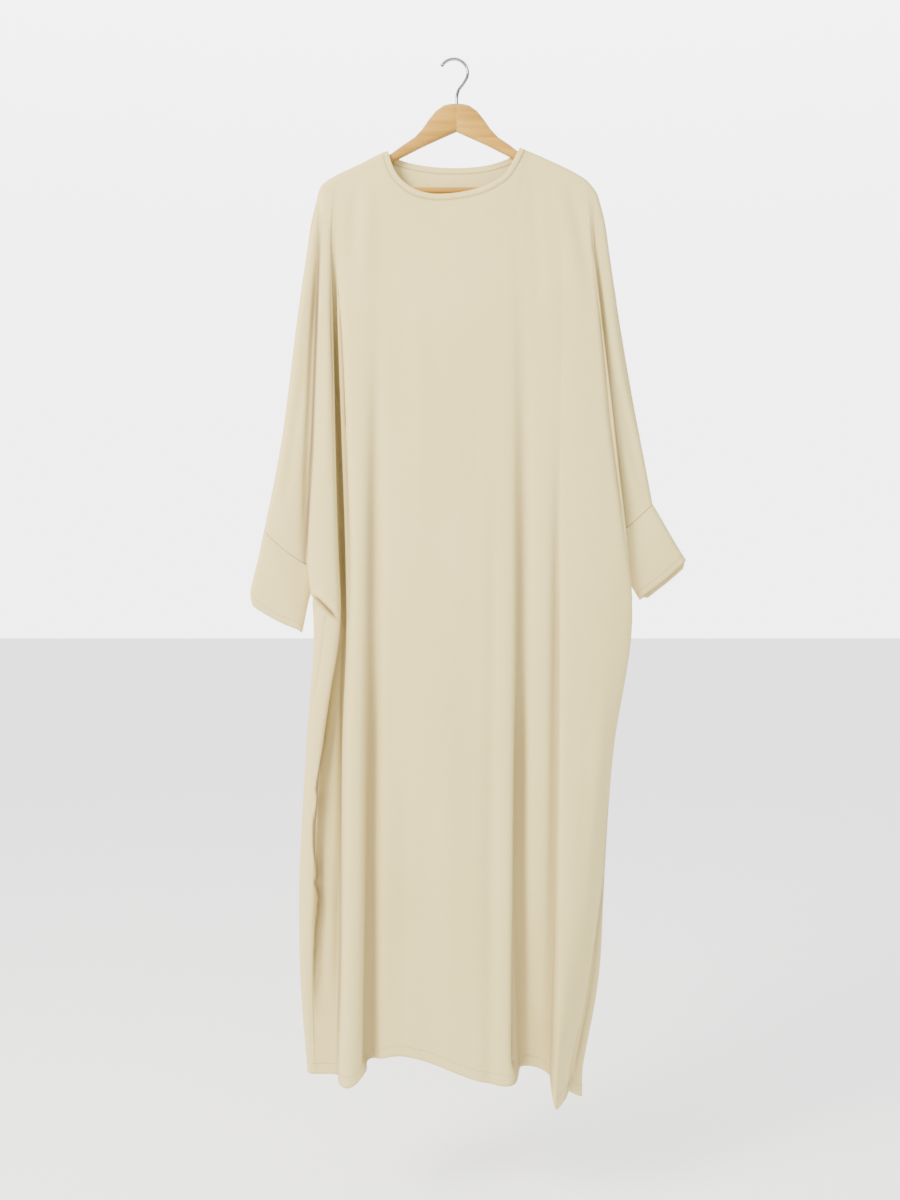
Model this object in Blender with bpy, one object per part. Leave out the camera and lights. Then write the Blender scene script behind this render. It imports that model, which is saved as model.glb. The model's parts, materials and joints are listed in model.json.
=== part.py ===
"""A batwing abaya on a wooden hanger, hanging from the inside top of its hook.

Units are millimetres until a mesh is made, and metres from there on. +Z is up, the wearer's front
faces -Y, and the origin is the point of the hook that rests on a rail or a nail.
"""

import math

import bmesh
import bpy
import numpy as np

MM = 0.001

# Cloth: one wall for every panel, and half of the clear space where two walls meet at a seam
WALL = 1.3
SEAM = 0.7
CLOSING = 1.0
FOLD_OVER = 8.2
BAND_WIDTH = 9.0
BAND_GAP = 0.6
CORNER_REACH = 25.0

# Hanger
CENTRE = 3.0
WOOD_HALF = 7.0
WOOD_UNDER_SEAM = 3.2
WOOD_UNDER_NECK = 3.0
WOOD_ROUND = 6.8
ARM_SLOPE = math.radians(27)
ARM_TIP_FROM_TURN = 34.0
BAR_SIDES = 12
HOLE_TOP = -60.0
HOOK_STEP = 3.0
BAR_RADIUS = 5.5
BAR_HEIGHT = -204.0
BAR_END = 186.0
HOOK_WIRE = 1.8
FIT = 0.3

# Heights of the sections that every fold line is given at
LEVELS = dict(yoke=-285, chest=-375, elbow=-610, cuff=-780, underarm=-857,
              hip=-1074, thigh=-1290, shin=-1436, hem=-1576)
HEIGHTS = tuple(LEVELS.values())

# Shoulder seam, then overarm seam, from the neck corner out and down to the cuff: x, z
LEFT_SEAM = ((-104, -143), (-122, -149.5), (-146, -162), (-171, -173.5), (-193, -185), (-206, -195),
             (-212, -207), (-215, -220), (-222, -256), (-233, -318), (-248, -410), (-260, -514),
             (-272, -613), (-296, -732))
RIGHT_SEAM = ((102, -138), (126, -147), (148, -157), (178, -171), (202, -185), (212, -194.5),
              (220, -205), (225, -217), (236, -261), (245, -318), (255, -407), (271, -504),
              (289, -590), (311, -693))
LEFT_TURN = 7
RIGHT_TURN = 7

# Neck edge, from the wearer's right corner to the left one: x, z
NECK_FRONT = ((-104, -143), (-96, -168), (-87, -184), (-76, -195), (-60, -205), (-38, -211),
              (-14, -211.5), (10, -209), (36, -203), (56, -195), (77, -181), (91, -160), (102, -138))
NECK_BACK = ((-104, -143), (-81, -154), (-57, -160), (-27, -164), (9, -165), (45, -162),
             (72, -155), (88, -148), (102, -138))
NECK_FRONT_Y = -10.5
NECK_BACK_Y = 9.0

# Fold lines, left and right as the photograph shows them: x at each level of LEVELS
LINES = dict(
    overarm_left=(-228, -241, -272, -307, -326),
    hidden_left=(-210, -200, -197, -211, -217, -232, -243, -241, -230),
    pleat_left=(-206.5, -212, -219, -229, -220, -231, -242, -240, -229),
    strip_left=(-192, -188, -182, -177, -174, -202, -214, -219, -216),
    strip_under=(-194, -191, -187, -182, -179, -206, -216, -219, -216),
    roll_left=(-184, -182, -174, -168, -167, -173, -176, -178, -179),
    trough_left=(-117, -118, -119, -121, -122, -125, -126, -128, -128),
    lip_middle=(91, 93, 94, 96, 97, 97, 96, 96, 97),
    trough_middle=(109, 109, 108, 107, 107, 105, 104, 102, 101),
    fold_right=(165, 165, 162, 159, 157, 155, 152, 150, 147),
    edge_right=(212, 224, 251, 270, 276, 247, 228, 206, 178),
    hidden_right=(216, 211, 221, 238, 262, 247, 228, 206, 178),
    overarm_right=(239, 252, 293, 328, 350),
    side_left=(-199, -191, -186, -201, -219, -232, -243, -241, -230),
    back_left=(-193, -184, -178, -193, -215, -231, -242, -240, -229),
    back_right=(196, 199, 202, 214, 262, 249, 234, 221, 198),
    side_right=(201, 204, 207, 223, 280, 247, 228, 206, 178),
    gusset_low=(204, 207, 211, 230, 290, 255, 236, 214, 186),
    gusset_high=(208, 209, 215, 235, 275),
)

# How far the small shifts of a pleat's two turns have opened at each level
OPEN = (0.2, 1, 1, 1, 1, 1, 1, 1, 1)

# Front panel, left of the neck. Each row is a fold line across the panel: its name, where it leaves
# the seam (mm from the turn at the hanger's tip), the two lines it lies between, its share of the
# way and its shift, the height where the sleeve or underarm seam ends it or the underarm passes it,
# its hem height, and its y at the shoulder and at each level.
FRONT_LEFT = (
    ("overarm", 0, "overarm_left", "overarm_left", 0, 0, -732, 0, (-9, -9, -9, -9, -9, -9)),
    ("sleeve_a", 4, "overarm_left", "pleat_left", 0.12, 0, -741, 0, (-8.2, -9, -10, -11, -11, -10)),
    ("sleeve_b", 8, "overarm_left", "pleat_left", 0.45, 0, -760, 0, (-8.2, -9, -10.5, -12, -12, -10)),
    ("sleeve_c", 12, "overarm_left", "pleat_left", 0.85, 0, -782, 0, (-8.2, -9, -10, -11, -10, -8)),
    ("under_a", 16, "hidden_left", "hidden_left", 0, -5, -794, 0, (-8.2, -9.5, -10, -10.5, -7, -4)),
    ("under_b", 20, "hidden_left", "hidden_left", 0, 1, -801, 0, (-8.2, -10.5, -12.5, -15, -6, -1)),
    ("under_c", 24, "hidden_left", "hidden_left", 0, 0, -813, 0, (-8.2, -12, -15, -19, -12, -4)),
    ("pleat_back", 28, "pleat_left", "pleat_left", 0, 3, -826, -1576,
     (-8.2, -13.5, -16, -20.5, -20, -18, -6, -1, 1, 2)),
    ("pleat_edge", 32, "pleat_left", "pleat_left", 0, -1, -839, -1576,
     (-8.2, -15, -21, -27, -28, -25, -14, -9, -6, -4)),
    ("strip_a", 37, "pleat_left", "strip_left", 0.3, 0, -844, -1577,
     (-8.2, -15.5, -22, -30, -33, -32, -28, -18, -11, -9)),
    ("strip_b", 42, "pleat_left", "strip_left", 0.6, 0, -848, -1578,
     (-8.2, -15.5, -22, -30, -34, -34, -31, -21, -13, -10)),
    ("strip_c", 48, "pleat_left", "strip_left", 0.86, 0, -852, -1578,
     (-8.2, -15, -21.5, -29, -33, -34, -32, -22, -13, -10)),
    ("strip_lip", 54, "strip_left", "strip_left", 0, 0, -855, -1578,
     (-8.2, -13.5, -18, -24, -27, -28, -27, -18, -12, -10)),
    ("valley_a", 58, "strip_under", "strip_under", 0, -1, -857, -1578,
     (-8.2, -12, -13, -14.5, -14, -14, -13, -10, -9, -9)),
    ("valley_b", 62, "strip_left", "roll_left", 0.5, 0, -857, -1578,
     (-8.2, -11, -10.5, -9, -8, -8, -8, -7, -8, -8)),
    ("valley_c", 66, "roll_left", "roll_left", 0, 4, -857, -1578,
     (-8.2, -11, -11, -10, -9, -9, -8, -7, -9, -10)),
    ("roll_lip", 71, "roll_left", "roll_left", 0, -2, -857, -1580,
     (-8.2, -11.5, -15, -20, -22, -22, -24, -26, -28, -30)),
    ("roll_a", 79, "roll_left", "roll_left", 0, 7, -857, -1583,
     (-8.2, -12, -19, -28, -32, -34, -40, -45, -49, -53)),
    ("roll_b", 90, "roll_left", "trough_left", 0.42, 0, -857, -1584,
     (-8.2, -12.5, -20.5, -31, -36, -38, -45, -51, -55, -59)),
    ("roll_c", 104, "roll_left", "trough_left", 0.75, 0, -857, -1572,
     (-8.2, -12.5, -20, -30, -34, -36, -41, -45, -47, -47)),
    ("trough", 119, "trough_left", "trough_left", 0, 0, -857, -1552,
     (-8.6, -12, -19, -27, -31, -33, -36, -36, -34, -31)),
)

# Front panel below the neck, between the left trough and the lip of the middle roll: share of the
# way across, and hem height
FRONT_MIDDLE = (
    (0.05, -1548), (0.11, -1544), (0.18, -1542), (0.26, -1543), (0.34, -1547), (0.43, -1553),
    (0.52, -1560), (0.61, -1567), (0.70, -1573), (0.80, -1578), (0.90, -1581), (0.985, -1579),
)
MIDDLE_TROUGH_Y = (-9.5, -12, -19, -27, -31, -33, -36, -36, -34, -31)
MIDDLE_LIP_Y = (-10, -13, -21, -29, -34, -37, -43, -49, -54, -58)
MIDDLE_CROWN = (1.0, 1.5, 2, 3, 3, 3, 2, 0, -2, -4)

# Front panel, right of the neck, with the same columns as FRONT_LEFT
FRONT_RIGHT = (
    ("lip_back", 134, "lip_middle", "lip_middle", 0, 2, -857, -1568,
     (-8.6, -12.5, -19.5, -26.5, -30, -32, -35, -37, -37, -37)),
    ("trough", 125, "trough_middle", "trough_middle", 0, 0, -857, -1562,
     (-8.2, -12, -18, -24, -27, -28, -28, -25, -21, -18)),
    ("panel", 117, "trough_middle", "fold_right", 0.5, 0, -857, -1562,
     (-8.2, -12.5, -20, -28, -32, -33, -34, -31, -24, -17)),
    ("fold_foot", 106, "fold_right", "fold_right", 0, -7, -857, -1569,
     (-8.2, -12.5, -19.5, -27.5, -30.5, -31.5, -31, -28, -24, -20)),
    ("fold_lip", 99, "fold_right", "fold_right", 0, -1, -857, -1594,
     (-8.2, -12.3, -19, -27, -29.5, -31, -33, -35, -37, -38)),
    ("fold_front", 92, "fold_right", "fold_right", 0, 6, -857, -1609,
     (-8.2, -12.5, -19.5, -28, -32.5, -35, -41, -47, -52, -56)),
    ("last_a", 78, "fold_right", "edge_right", 0.3, 0, -857, -1612,
     (-8.2, -13, -20, -29, -34, -36, -42, -48, -52, -54)),
    ("last_b", 62, "fold_right", "edge_right", 0.6, 0, -857, -1609,
     (-8.2, -13.5, -20, -28, -32, -34, -36, -38, -38, -38)),
    ("last_c", 47, "fold_right", "edge_right", 0.88, 0, -854, -1606,
     (-8.2, -14, -19.5, -26, -29, -29, -27, -24, -22, -20)),
    ("edge", 38, "edge_right", "edge_right", 0, 1, -847, -1604,
     (-8.2, -14, -18.5, -24, -26, -24, -18, -12, -9, -7)),
    ("edge_back", 32, "edge_right", "edge_right", 0, -2, -818, -1604,
     (-8.2, -12.5, -14.5, -18, -17, -15, -8, -2, 0, 2)),
    ("under_a", 26, "hidden_right", "hidden_right", 0, 3, -782, 0, (-8.2, -11, -13.5, -16, -9, -6)),
    ("under_b", 21, "hidden_right", "hidden_right", 0, -1, -758, 0, (-8.2, -10, -11, -12, -4, 0)),
    ("under_c", 16, "hidden_right", "hidden_right", 0, 5, -751, 0, (-8.2, -9.5, -10, -10.5, -7, -4)),
    ("sleeve_a", 12, "hidden_right", "overarm_right", 0.25, 0, -741, 0, (-8.2, -9, -9.5, -10, -8, -6)),
    ("sleeve_b", 8, "hidden_right", "overarm_right", 0.55, 0, -723, 0, (-8.2, -9, -10, -11, -8, -7)),
    ("sleeve_c", 4, "hidden_right", "overarm_right", 0.88, 0, -701, 0, (-8.2, -9, -9.5, -10, -8, -7)),
    ("overarm", 0, "overarm_right", "overarm_right", 0, 0, -693, 0, (-9, -9, -9, -9, -9, -9)),
)

# Back panel, both sides, with the same columns as FRONT_LEFT
BACK_LEFT = (
    ("overarm", 0, "overarm_left", "overarm_left", 0, 0, -732, 0, (9, 9, 9, 9, 9, 9)),
    ("sleeve_a", 4, "overarm_left", "hidden_left", 0.12, 0, -741, 0, (8.2, 9, 10, 11, 10, 9)),
    ("sleeve_b", 8, "overarm_left", "hidden_left", 0.5, 0, -766, 0, (8.2, 9, 11, 13, 12, 10)),
    ("sleeve_c", 12, "overarm_left", "hidden_left", 0.86, 0, -792, 0, (8.2, 9, 11, 12, 8, 5)),
    ("gusset_a", 16, "hidden_left", "hidden_left", 0, 0, -801, 0, (8.2, 9, 11, 12, 4, 0)),
    ("gusset_b", 21, "hidden_left", "hidden_left", 0, 3, -812, 0, (8.2, 9, 11.5, 12, 6, -9)),
    ("gusset_c", 26, "hidden_left", "hidden_left", 0, 7, -826, -1576,
     (8.2, 9, 12, 13, 9, -16, -16, -12, -10, -8)),
    ("side", 31, "side_left", "side_left", 0, 0, -839, -1576,
     (8.2, 9, 12, 13.5, 11, -20, -10, -6, -3, -1)),
    ("side_back", 37, "back_left", "back_left", 0, 1, -850, -1578,
     (8.2, 9, 12, 14, 13, 2, 2, 3, 4, 5)),
    ("body_a", 46, "back_left", "back_right", 0.03, 0, -857, -1580,
     (8.2, 9.5, 12.5, 15, 15, 12, 12, 12, 13, 14)),
)
BACK_RIGHT = (
    ("body_a", 54, "back_left", "back_right", 0.96, 0, -857, -1608,
     (8.2, 9.5, 12.5, 15, 15, 15, 14, 14, 14, 14)),
    ("side_back", 42, "back_right", "back_right", 0, 1, -852, -1626,
     (8.2, 9, 12, 14, 13, 6, 5, 5, 5, 4)),
    ("side", 37, "side_right", "side_right", 0, 0, -847, -1604,
     (8.2, 9, 12, 14, 12, -16, -10, -7, -5, -4)),
    ("gusset_c", 32, "gusset_low", "gusset_low", 0, 0, -818, -1604,
     (8.2, 9, 11.5, 13, 6, -12, -18, -14, -12, -10)),
    ("gusset_b", 26, "gusset_high", "gusset_high", 0, 0, -782, 0, (8.2, 9, 11, 12, 0, -5)),
    ("gusset_a", 21, "hidden_right", "hidden_right", 0, 0, -758, 0, (8.2, 9, 10, 11, 2, 0)),
    ("sleeve_a", 15, "hidden_right", "overarm_right", 0.25, 0, -741, 0, (8.2, 9, 10, 12, 8, 6)),
    ("sleeve_b", 10, "hidden_right", "overarm_right", 0.55, 0, -723, 0, (8.2, 9, 10.5, 12, 9, 7)),
    ("sleeve_c", 5, "hidden_right", "overarm_right", 0.88, 0, -701, 0, (8.2, 9, 10, 11, 9, 7)),
    ("overarm", 0, "overarm_right", "overarm_right", 0, 0, -693, 0, (9, 9, 9, 9, 9, 9)),
)

# Back panel below the neck and shoulders: where the column leaves the seam or the neck, its share
# of the way across, its fold from -1 (a trough) to 1 (a roll), and its hem height
BACK_MIDDLE = (
    ("left", 70, 0.08, 0.7, -1576),
    ("left", 104, 0.16, -0.9, -1570),
    ("neck", 0.00, 0.25, 0.7, -1560),
    ("neck", 0.16, 0.32, -0.4, -1552),
    ("neck", 0.33, 0.39, 0.5, -1553),
    ("neck", 0.50, 0.48, -0.5, -1562),
    ("neck", 0.67, 0.57, 0.6, -1570),
    ("neck", 0.84, 0.64, -0.5, -1576),
    ("neck", 1.00, 0.72, 0.6, -1575),
    ("right", 110, 0.81, -0.9, -1566),
    ("right", 78, 0.90, 0.7, -1583),
)
BACK_BASE_Y = (9, 10, 13, 17, 19, 20, 21, 22, 23, 24)
BACK_FOLD_DEPTH = (0, 1, 2.5, 4.5, 5, 5, 6.5, 8, 9, 10)

# Extra columns of points between two fold lines, where the wall turns sharply or meets the neck
FRONT_FINER = {k: 2 for k in (3, 4, 5, 6, 7, 8, 12, 15, 16, 32, 33, 36, 37, 40, 41, 42, 43, 44, 46, 47)}
FRONT_FINER.update({k: 2 for k in range(22, 31)})
FRONT_FINER.update({21: 4, 31: 4})
BACK_FINER = {k: 2 for k in (3, 7, 8, 22, 26, 27)}
BACK_FINER.update({12: 5, 13: 2, 14: 2, 15: 2, 16: 2, 17: 5})

# Cuffs: the way from the seam to the open edge, the share of depth added in the middle, and how far
# the narrow inner end keeps off the underarm and its own other wall
LEFT_CUFF = (-22, 0, -98)
RIGHT_CUFF = (52, 0, -87)

# Length of each half of a cuff, as a share of that way: share of its width from the overarm, length
LEFT_CUFF_ENDS = ((0, 0.97), (0.05, 1.06), (0.12, 1.12), (0.3, 1.085), (0.57, 1.04), (1, 0.97))
CUFF_ENDS = dict(
    left_front=LEFT_CUFF_ENDS,
    left_back=LEFT_CUFF_ENDS,
    right_front=((0, 1), (1, 1)),
    right_back=((0, 1), (0.1, 1.085), (0.5, 1.08), (0.92, 1.07), (1, 1)),
)
CUFF_BULGE = 0.3
CUFF_ROUND = 1.0
CUFF_INSET = 0.45
CUFF_CLEAR = 2.0

# Underarm and side seams of the back: how many columns inside and outside of them are led along
# the front's, over what share of the height above the underarm, and how far from the front's
LEAD_INSIDE = 2.5
LEAD_OUTSIDE = 1.0
LEAD_ABOVE = 0.06
LEAD_X = 1.9
LEAD_Y = 1.5

# Rows of the panels between a column's top and the underarm, and from there to the hem
UPPER_ROWS = (0.0, 0.006, 0.017, 0.04, 0.08, 0.15, 0.24, 0.34, 0.46, 0.58, 0.70, 0.80, 0.88, 0.95, 1.0)
LOWER_ROWS = (0.04, 0.10, 0.20, 0.32, 0.44, 0.56, 0.68, 0.80, 0.91, 1.0)

# Wooden arm, from the mitre out: distance from the centre, top and underside
ARM_TOP = ((0.25, -68), (10, -68.6), (20, -71), (32, -79.5), (43, -93), (53, -107.5), (65, -120.5),
           (82, -131.8))
ARM_UNDER = ((0.25, -112), (50, -134.5), (100, -160), (140, -180), (163, -195), (174, -210),
             (186, -214), (212, -214))

# Hook, along the middle of its wire: x, z from the wood up to where the round loop begins
HOOK_STEM = ((3.5, -80), (3.5, -66), (3.6, -57), (6.5, -46.5), (13.2, -37.8))
LOOP_CENTRE = (-1.0, -19.8)
LOOP_RADIUS = 21.6
LOOP_FROM = -25.0
LOOP_TO = 153.0
LOOP_STEP = 12.0

COLOURS = dict(
    cloth=((0.76, 0.70, 0.54, 1.0), 0.85, 0.0),
    band=((0.74, 0.68, 0.53, 1.0), 0.85, 0.0),
    wood=((0.62, 0.43, 0.25, 1.0), 0.45, 0.0),
    chrome=((0.80, 0.80, 0.82, 1.0), 0.18, 1.0),
)


def smooth_through(xs, values, x):
    """A smooth curve through the values at xs, read at x; xs may run either way."""
    xs = np.asarray(xs, float)
    values = np.asarray(values, float)
    if xs[0] > xs[-1]:
        xs = xs[::-1]
        values = values[::-1]
    slopes = np.gradient(values, xs)
    x = np.clip(x, xs[0], xs[-1])
    at = np.clip(np.searchsorted(xs, x) - 1, 0, len(xs) - 2)
    width = xs[at + 1] - xs[at]
    t = (x - xs[at]) / width
    start, end = values[at], values[at + 1]
    return ((1 + 2 * t) * (1 - t) ** 2 * start + t * (1 - t) ** 2 * width * slopes[at]
            + t * t * (3 - 2 * t) * end + t * t * (t - 1) * width * slopes[at + 1])


class Path:
    """A smooth line through named points, read by the distance along it."""

    def __init__(self, points, fine=8):
        points = np.asarray(points, float)
        steps = np.arange(len(points))
        at = np.linspace(0, len(points) - 1, (len(points) - 1) * fine + 1)
        columns = [smooth_through(steps, points[:, k], at) for k in range(points.shape[1])]
        self.points = np.stack(columns, axis=1)
        lengths = np.linalg.norm(np.diff(self.points, axis=0), axis=1)
        self.distance = np.concatenate([[0], np.cumsum(lengths)])
        self.length = self.distance[-1]
        self.knots = self.distance[::fine]

    def at(self, distance):
        return np.array([np.interp(distance, self.distance, self.points[:, k])
                         for k in range(self.points.shape[1])])

    def nearest(self, x, z):
        """Distance in the x-z plane from a point to the line."""
        start = self.points[:-1]
        step = self.points[1:] - start
        place = np.array([x, z])
        share = np.clip(((place - start) * step).sum(1) / (step ** 2).sum(1), 0, 1)
        return np.linalg.norm(start + share[:, None] * step - place, axis=1).min()


LEFT = Path(LEFT_SEAM)
RIGHT = Path(RIGHT_SEAM)
FRONT_NECK = Path(NECK_FRONT)
BACK_NECK = Path(NECK_BACK)


def line_x(name, z):
    values = LINES[name]
    return smooth_through(HEIGHTS[:len(values)], values, z)


def neck_point(path, share, out):
    """A point of the neck edge, moved out of the opening: along the shoulder seams at the corners."""
    distance = share * path.length
    here = path.at(distance)
    ahead = path.at(min(distance + 1.0, path.length))
    behind = path.at(max(distance - 1.0, 0.0))
    along = (ahead - behind) / np.linalg.norm(ahead - behind)
    way = np.array([along[1], -along[0]])
    for seam, corner in ((LEFT, distance), (RIGHT, path.length - distance)):
        near = max(0.0, 1 - corner / CORNER_REACH) ** 2
        shoulder = (seam.at(BAND_WIDTH) - seam.at(0.0)) / BAND_WIDTH
        way = way * (1 - near) + shoulder * near
    return here + out * way / np.linalg.norm(way)


def turn_distance(seam):
    """Distance along a seam from the neck to its turn at the hanger's tip."""
    return seam.knots[LEFT_TURN if seam is LEFT else RIGHT_TURN]


class Edge:
    """A panel's top edge: up the left shoulder seam from the turn, along the neck, and down."""

    def __init__(self, neck):
        band = BAND_WIDTH + BAND_GAP
        left = [LEFT.at(d) for d in np.linspace(turn_distance(LEFT), band, 60)]
        middle = [neck_point(neck, share, band) for share in np.linspace(0, 1, 90)]
        right = [RIGHT.at(d) for d in np.linspace(band, turn_distance(RIGHT), 60)]
        self.points = np.array(left + middle[1:-1] + right)
        steps = np.linalg.norm(np.diff(self.points, axis=0), axis=1)
        self.distance = np.concatenate([[0], np.cumsum(steps)])
        self.length = self.distance[-1]
        self.corners = (turn_distance(LEFT) - band, self.length - turn_distance(RIGHT) + band)

    def at(self, distance):
        return np.array([np.interp(distance, self.distance, self.points[:, k]) for k in (0, 1)])

    def neck(self, share):
        return self.corners[0] + (self.corners[1] - self.corners[0]) * share


class Column:
    """One fold line of a panel: its top, the end at the underarm, the hem, and x and y by height."""

    def __init__(self, edge, place, lines, share, shift, middle, hem, depths):
        self.place = place
        self.top = edge.at(place)
        self.lines = lines
        self.share = share
        self.shift = shift
        self.middle = middle
        self.hem = hem
        self.depths = depths

    def x(self, z):
        first = line_x(self.lines[0], z)
        second = line_x(self.lines[1], z)
        opened = np.interp(-z, [-h for h in HEIGHTS], OPEN)
        below = first + (second - first) * self.share + self.shift * opened
        if z <= HEIGHTS[0]:
            return below
        first = line_x(self.lines[0], HEIGHTS[0])
        second = line_x(self.lines[1], HEIGHTS[0])
        at_yoke = first + (second - first) * self.share + self.shift * OPEN[0]
        t = (self.top[1] - z) / (self.top[1] - HEIGHTS[0])
        return self.top[0] + (at_yoke - self.top[0]) * t * (1.5 - 0.5 * t)

    def y(self, z):
        heights = (self.top[1],) + HEIGHTS[:len(self.depths) - 1]
        return smooth_through(heights, self.depths, z)

    def point(self, z):
        return np.array([self.x(z), self.y(z), z])


def side_columns(rows, edge, seam):
    """The columns of a side table, with their tops on the seam beside them."""
    columns = []
    for name, top, first, second, share, shift, middle, hem, depths in rows:
        place = top if seam is LEFT else edge.length - top
        columns.append(Column(edge, place, (first, second), share, shift, middle, hem or middle - 40,
                              depths))
    return columns


def front_columns():
    columns = side_columns(FRONT_LEFT, FRONT_EDGE, LEFT)
    last = len(FRONT_MIDDLE) - 1
    for number, (share, hem) in enumerate(FRONT_MIDDLE):
        place = FRONT_EDGE.neck(number / last)
        trough, lip, crown = map(np.array, (MIDDLE_TROUGH_Y, MIDDLE_LIP_Y, MIDDLE_CROWN))
        across = share * share * (3 - 2 * share)
        depths = trough + (lip - trough) * across - crown * 4 * share * (1 - share)
        columns.append(Column(FRONT_EDGE, place, ("trough_left", "lip_middle"), share, 0, -857, hem,
                              depths))
    return columns + side_columns(FRONT_RIGHT, FRONT_EDGE, RIGHT)


def back_columns():
    columns = side_columns(BACK_LEFT, BACK_EDGE, LEFT)
    for kind, place, share, fold, hem in BACK_MIDDLE:
        if kind == "neck":
            place = BACK_EDGE.neck(place)
        elif kind == "right":
            place = BACK_EDGE.length - place
        depths = np.array(BACK_BASE_Y) + fold * np.array(BACK_FOLD_DEPTH)
        columns.append(Column(BACK_EDGE, place, ("back_left", "back_right"), share, 0, -857, hem,
                              depths))
    return columns + side_columns(BACK_RIGHT, BACK_EDGE, RIGHT)


FRONT_EDGE = Edge(FRONT_NECK)
BACK_EDGE = Edge(BACK_NECK)
FRONT = front_columns()
BACK = back_columns()
FRONT_BODY = (8, len(FRONT) - 9)
BACK_BODY = (7, len(BACK) - 8)
FRONT_CUFFS = (5, len(FRONT) - 6)
BACK_CUFFS = (4, len(BACK) - 5)


def weights(u, count):
    """Cubic B-spline weights of the columns around place u, with straight ends."""
    share = np.zeros(count)
    base = int(min(math.floor(u), count - 2))
    t = u - base
    parts = ((1 - t) ** 3 / 6, (3 * t ** 3 - 6 * t * t + 4) / 6,
             (-3 * t ** 3 + 3 * t * t + 3 * t + 1) / 6, t ** 3 / 6)
    for offset, part in zip((-1, 0, 1, 2), parts):
        index = base + offset
        if index < 0:
            share[0] += 2 * part
            share[1] -= part
        elif index > count - 1:
            share[count - 1] += 2 * part
            share[count - 2] -= part
        else:
            share[index] += part
    return share


def column_height(column, v):
    """Height at row place v: 0 at the top, 1 at the underarm, 2 at the hem."""
    if v <= 1:
        return column.top[1] + (column.middle - column.top[1]) * v
    return column.middle + (column.hem - column.middle) * (v - 1)


def rounded(distance):
    """How far a sheet has turned down from a seam: 0 on it, 1 where it hangs free."""
    t = min(distance / FOLD_OVER, 1.0)
    return math.sqrt(1 - (1 - t) ** 2)


def panel_point(columns, edge, u, v, side, closings):
    share = weights(u, len(columns))
    used = np.nonzero(share)[0]
    place = sum(share[k] * columns[k].point(column_height(columns[k], v)) for k in used)
    if v < 0.12:
        place = settle_top(columns, edge, u, v, place)
    x, y, z = place
    turned = 1.0
    if v <= 1:
        turned = rounded(min(LEFT.nearest(x, z), RIGHT.nearest(x, z)))
    y = side * SEAM + (y - side * SEAM) * turned
    for closing, top, end in closings:
        near = max(0.0, 1 - abs(u - closing) / 1.3) * np.clip((top - z) / (top - end), 0, 1)
        if v <= 1:
            y += (side * CLOSING - y) * near * near * (3 - 2 * near)
    return np.array([x, y, z])


def settle_top(columns, edge, u, v, place):
    """Moves the first rows so that the top edge follows the shoulder seam and the neck."""
    tops = np.array([column.top for column in columns])
    on_edge = edge.at(np.interp(u, range(len(columns)), [column.place for column in columns]))
    drawn = weights(u, len(columns)) @ tops
    fade = (1 - v / 0.12) ** 2
    return place + np.array([on_edge[0] - drawn[0], 0, on_edge[1] - drawn[1]]) * fade


FRONT_CLOSINGS = ((FRONT_CUFFS[0], -740, -800), (FRONT_CUFFS[1], -700, -757))
BACK_CLOSINGS = ((BACK_CUFFS[0], -740, -800), (BACK_CUFFS[1], -700, -757))


def front_point(u, v):
    return panel_point(FRONT, FRONT_EDGE, u, v, -1, FRONT_CLOSINGS)


def back_point(u, v):
    """The back panel, with its underarm and side seams led along the front panel's."""
    place = panel_point(BACK, BACK_EDGE, u, v, 1, BACK_CLOSINGS)
    pairs = ((BACK_CUFFS[0], BACK_BODY[0], FRONT_BODY[0], 1),
             (BACK_CUFFS[1], BACK_BODY[1], FRONT_BODY[1], -1))
    for cuff, body, front_body, way in pairs:
        inside = (u - body) * way
        outside = (cuff - u) * way
        if inside > LEAD_INSIDE or outside > LEAD_OUTSIDE:
            continue
        reach = 1 - max(inside, 0) / LEAD_INSIDE
        along = body if inside > 0 else (cuff if outside > 0 else u)
        if outside > 0:
            reach = 1 - outside / LEAD_OUTSIDE
        if v < 1:
            reach *= max(0.0, 1 - (1 - v) / LEAD_ABOVE)
        if reach <= 0:
            continue
        front_u = front_body + (along - body)
        row = max(v, 1)
        target = front_point(front_u, row) + np.array([way * LEAD_X, LEAD_Y, 0])
        drawn = panel_point(BACK, BACK_EDGE, along, row, 1, BACK_CLOSINGS)
        place = place + (target - drawn) * reach * reach * (3 - 2 * reach)
    return place


def panel_places(columns):
    """The places across a panel that its mesh has a column of points at."""
    finer = FRONT_FINER if columns is FRONT else BACK_FINER
    places = []
    for column in range(len(columns) - 1):
        steps = finer.get(column, 1)
        places += [column + step / steps for step in range(steps)]
    return places + [len(columns) - 1]


def panel_mesh(name, point, columns, body):
    """A grid of the panel: every column down to the underarm, the body's columns on to the hem."""
    us = panel_places(columns)
    upper = list(UPPER_ROWS)
    lower = [1 + row for row in LOWER_ROWS]
    body_us = [u for u in us if body[0] <= u <= body[1]]
    mesh = bmesh.new()
    rows = [[mesh.verts.new(point(u, v) * MM) for u in us] for v in upper]
    start = us.index(body_us[0])
    below = [rows[-1][start:start + len(body_us)]]
    below += [[mesh.verts.new(point(u, v) * MM) for u in body_us] for v in lower]
    for grid in (rows, below):
        for one, two in zip(grid[:-1], grid[1:]):
            for k in range(len(one) - 1):
                mesh.faces.new((one[k], two[k], two[k + 1], one[k + 1]))
    return finish_cloth(name, mesh)


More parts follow.
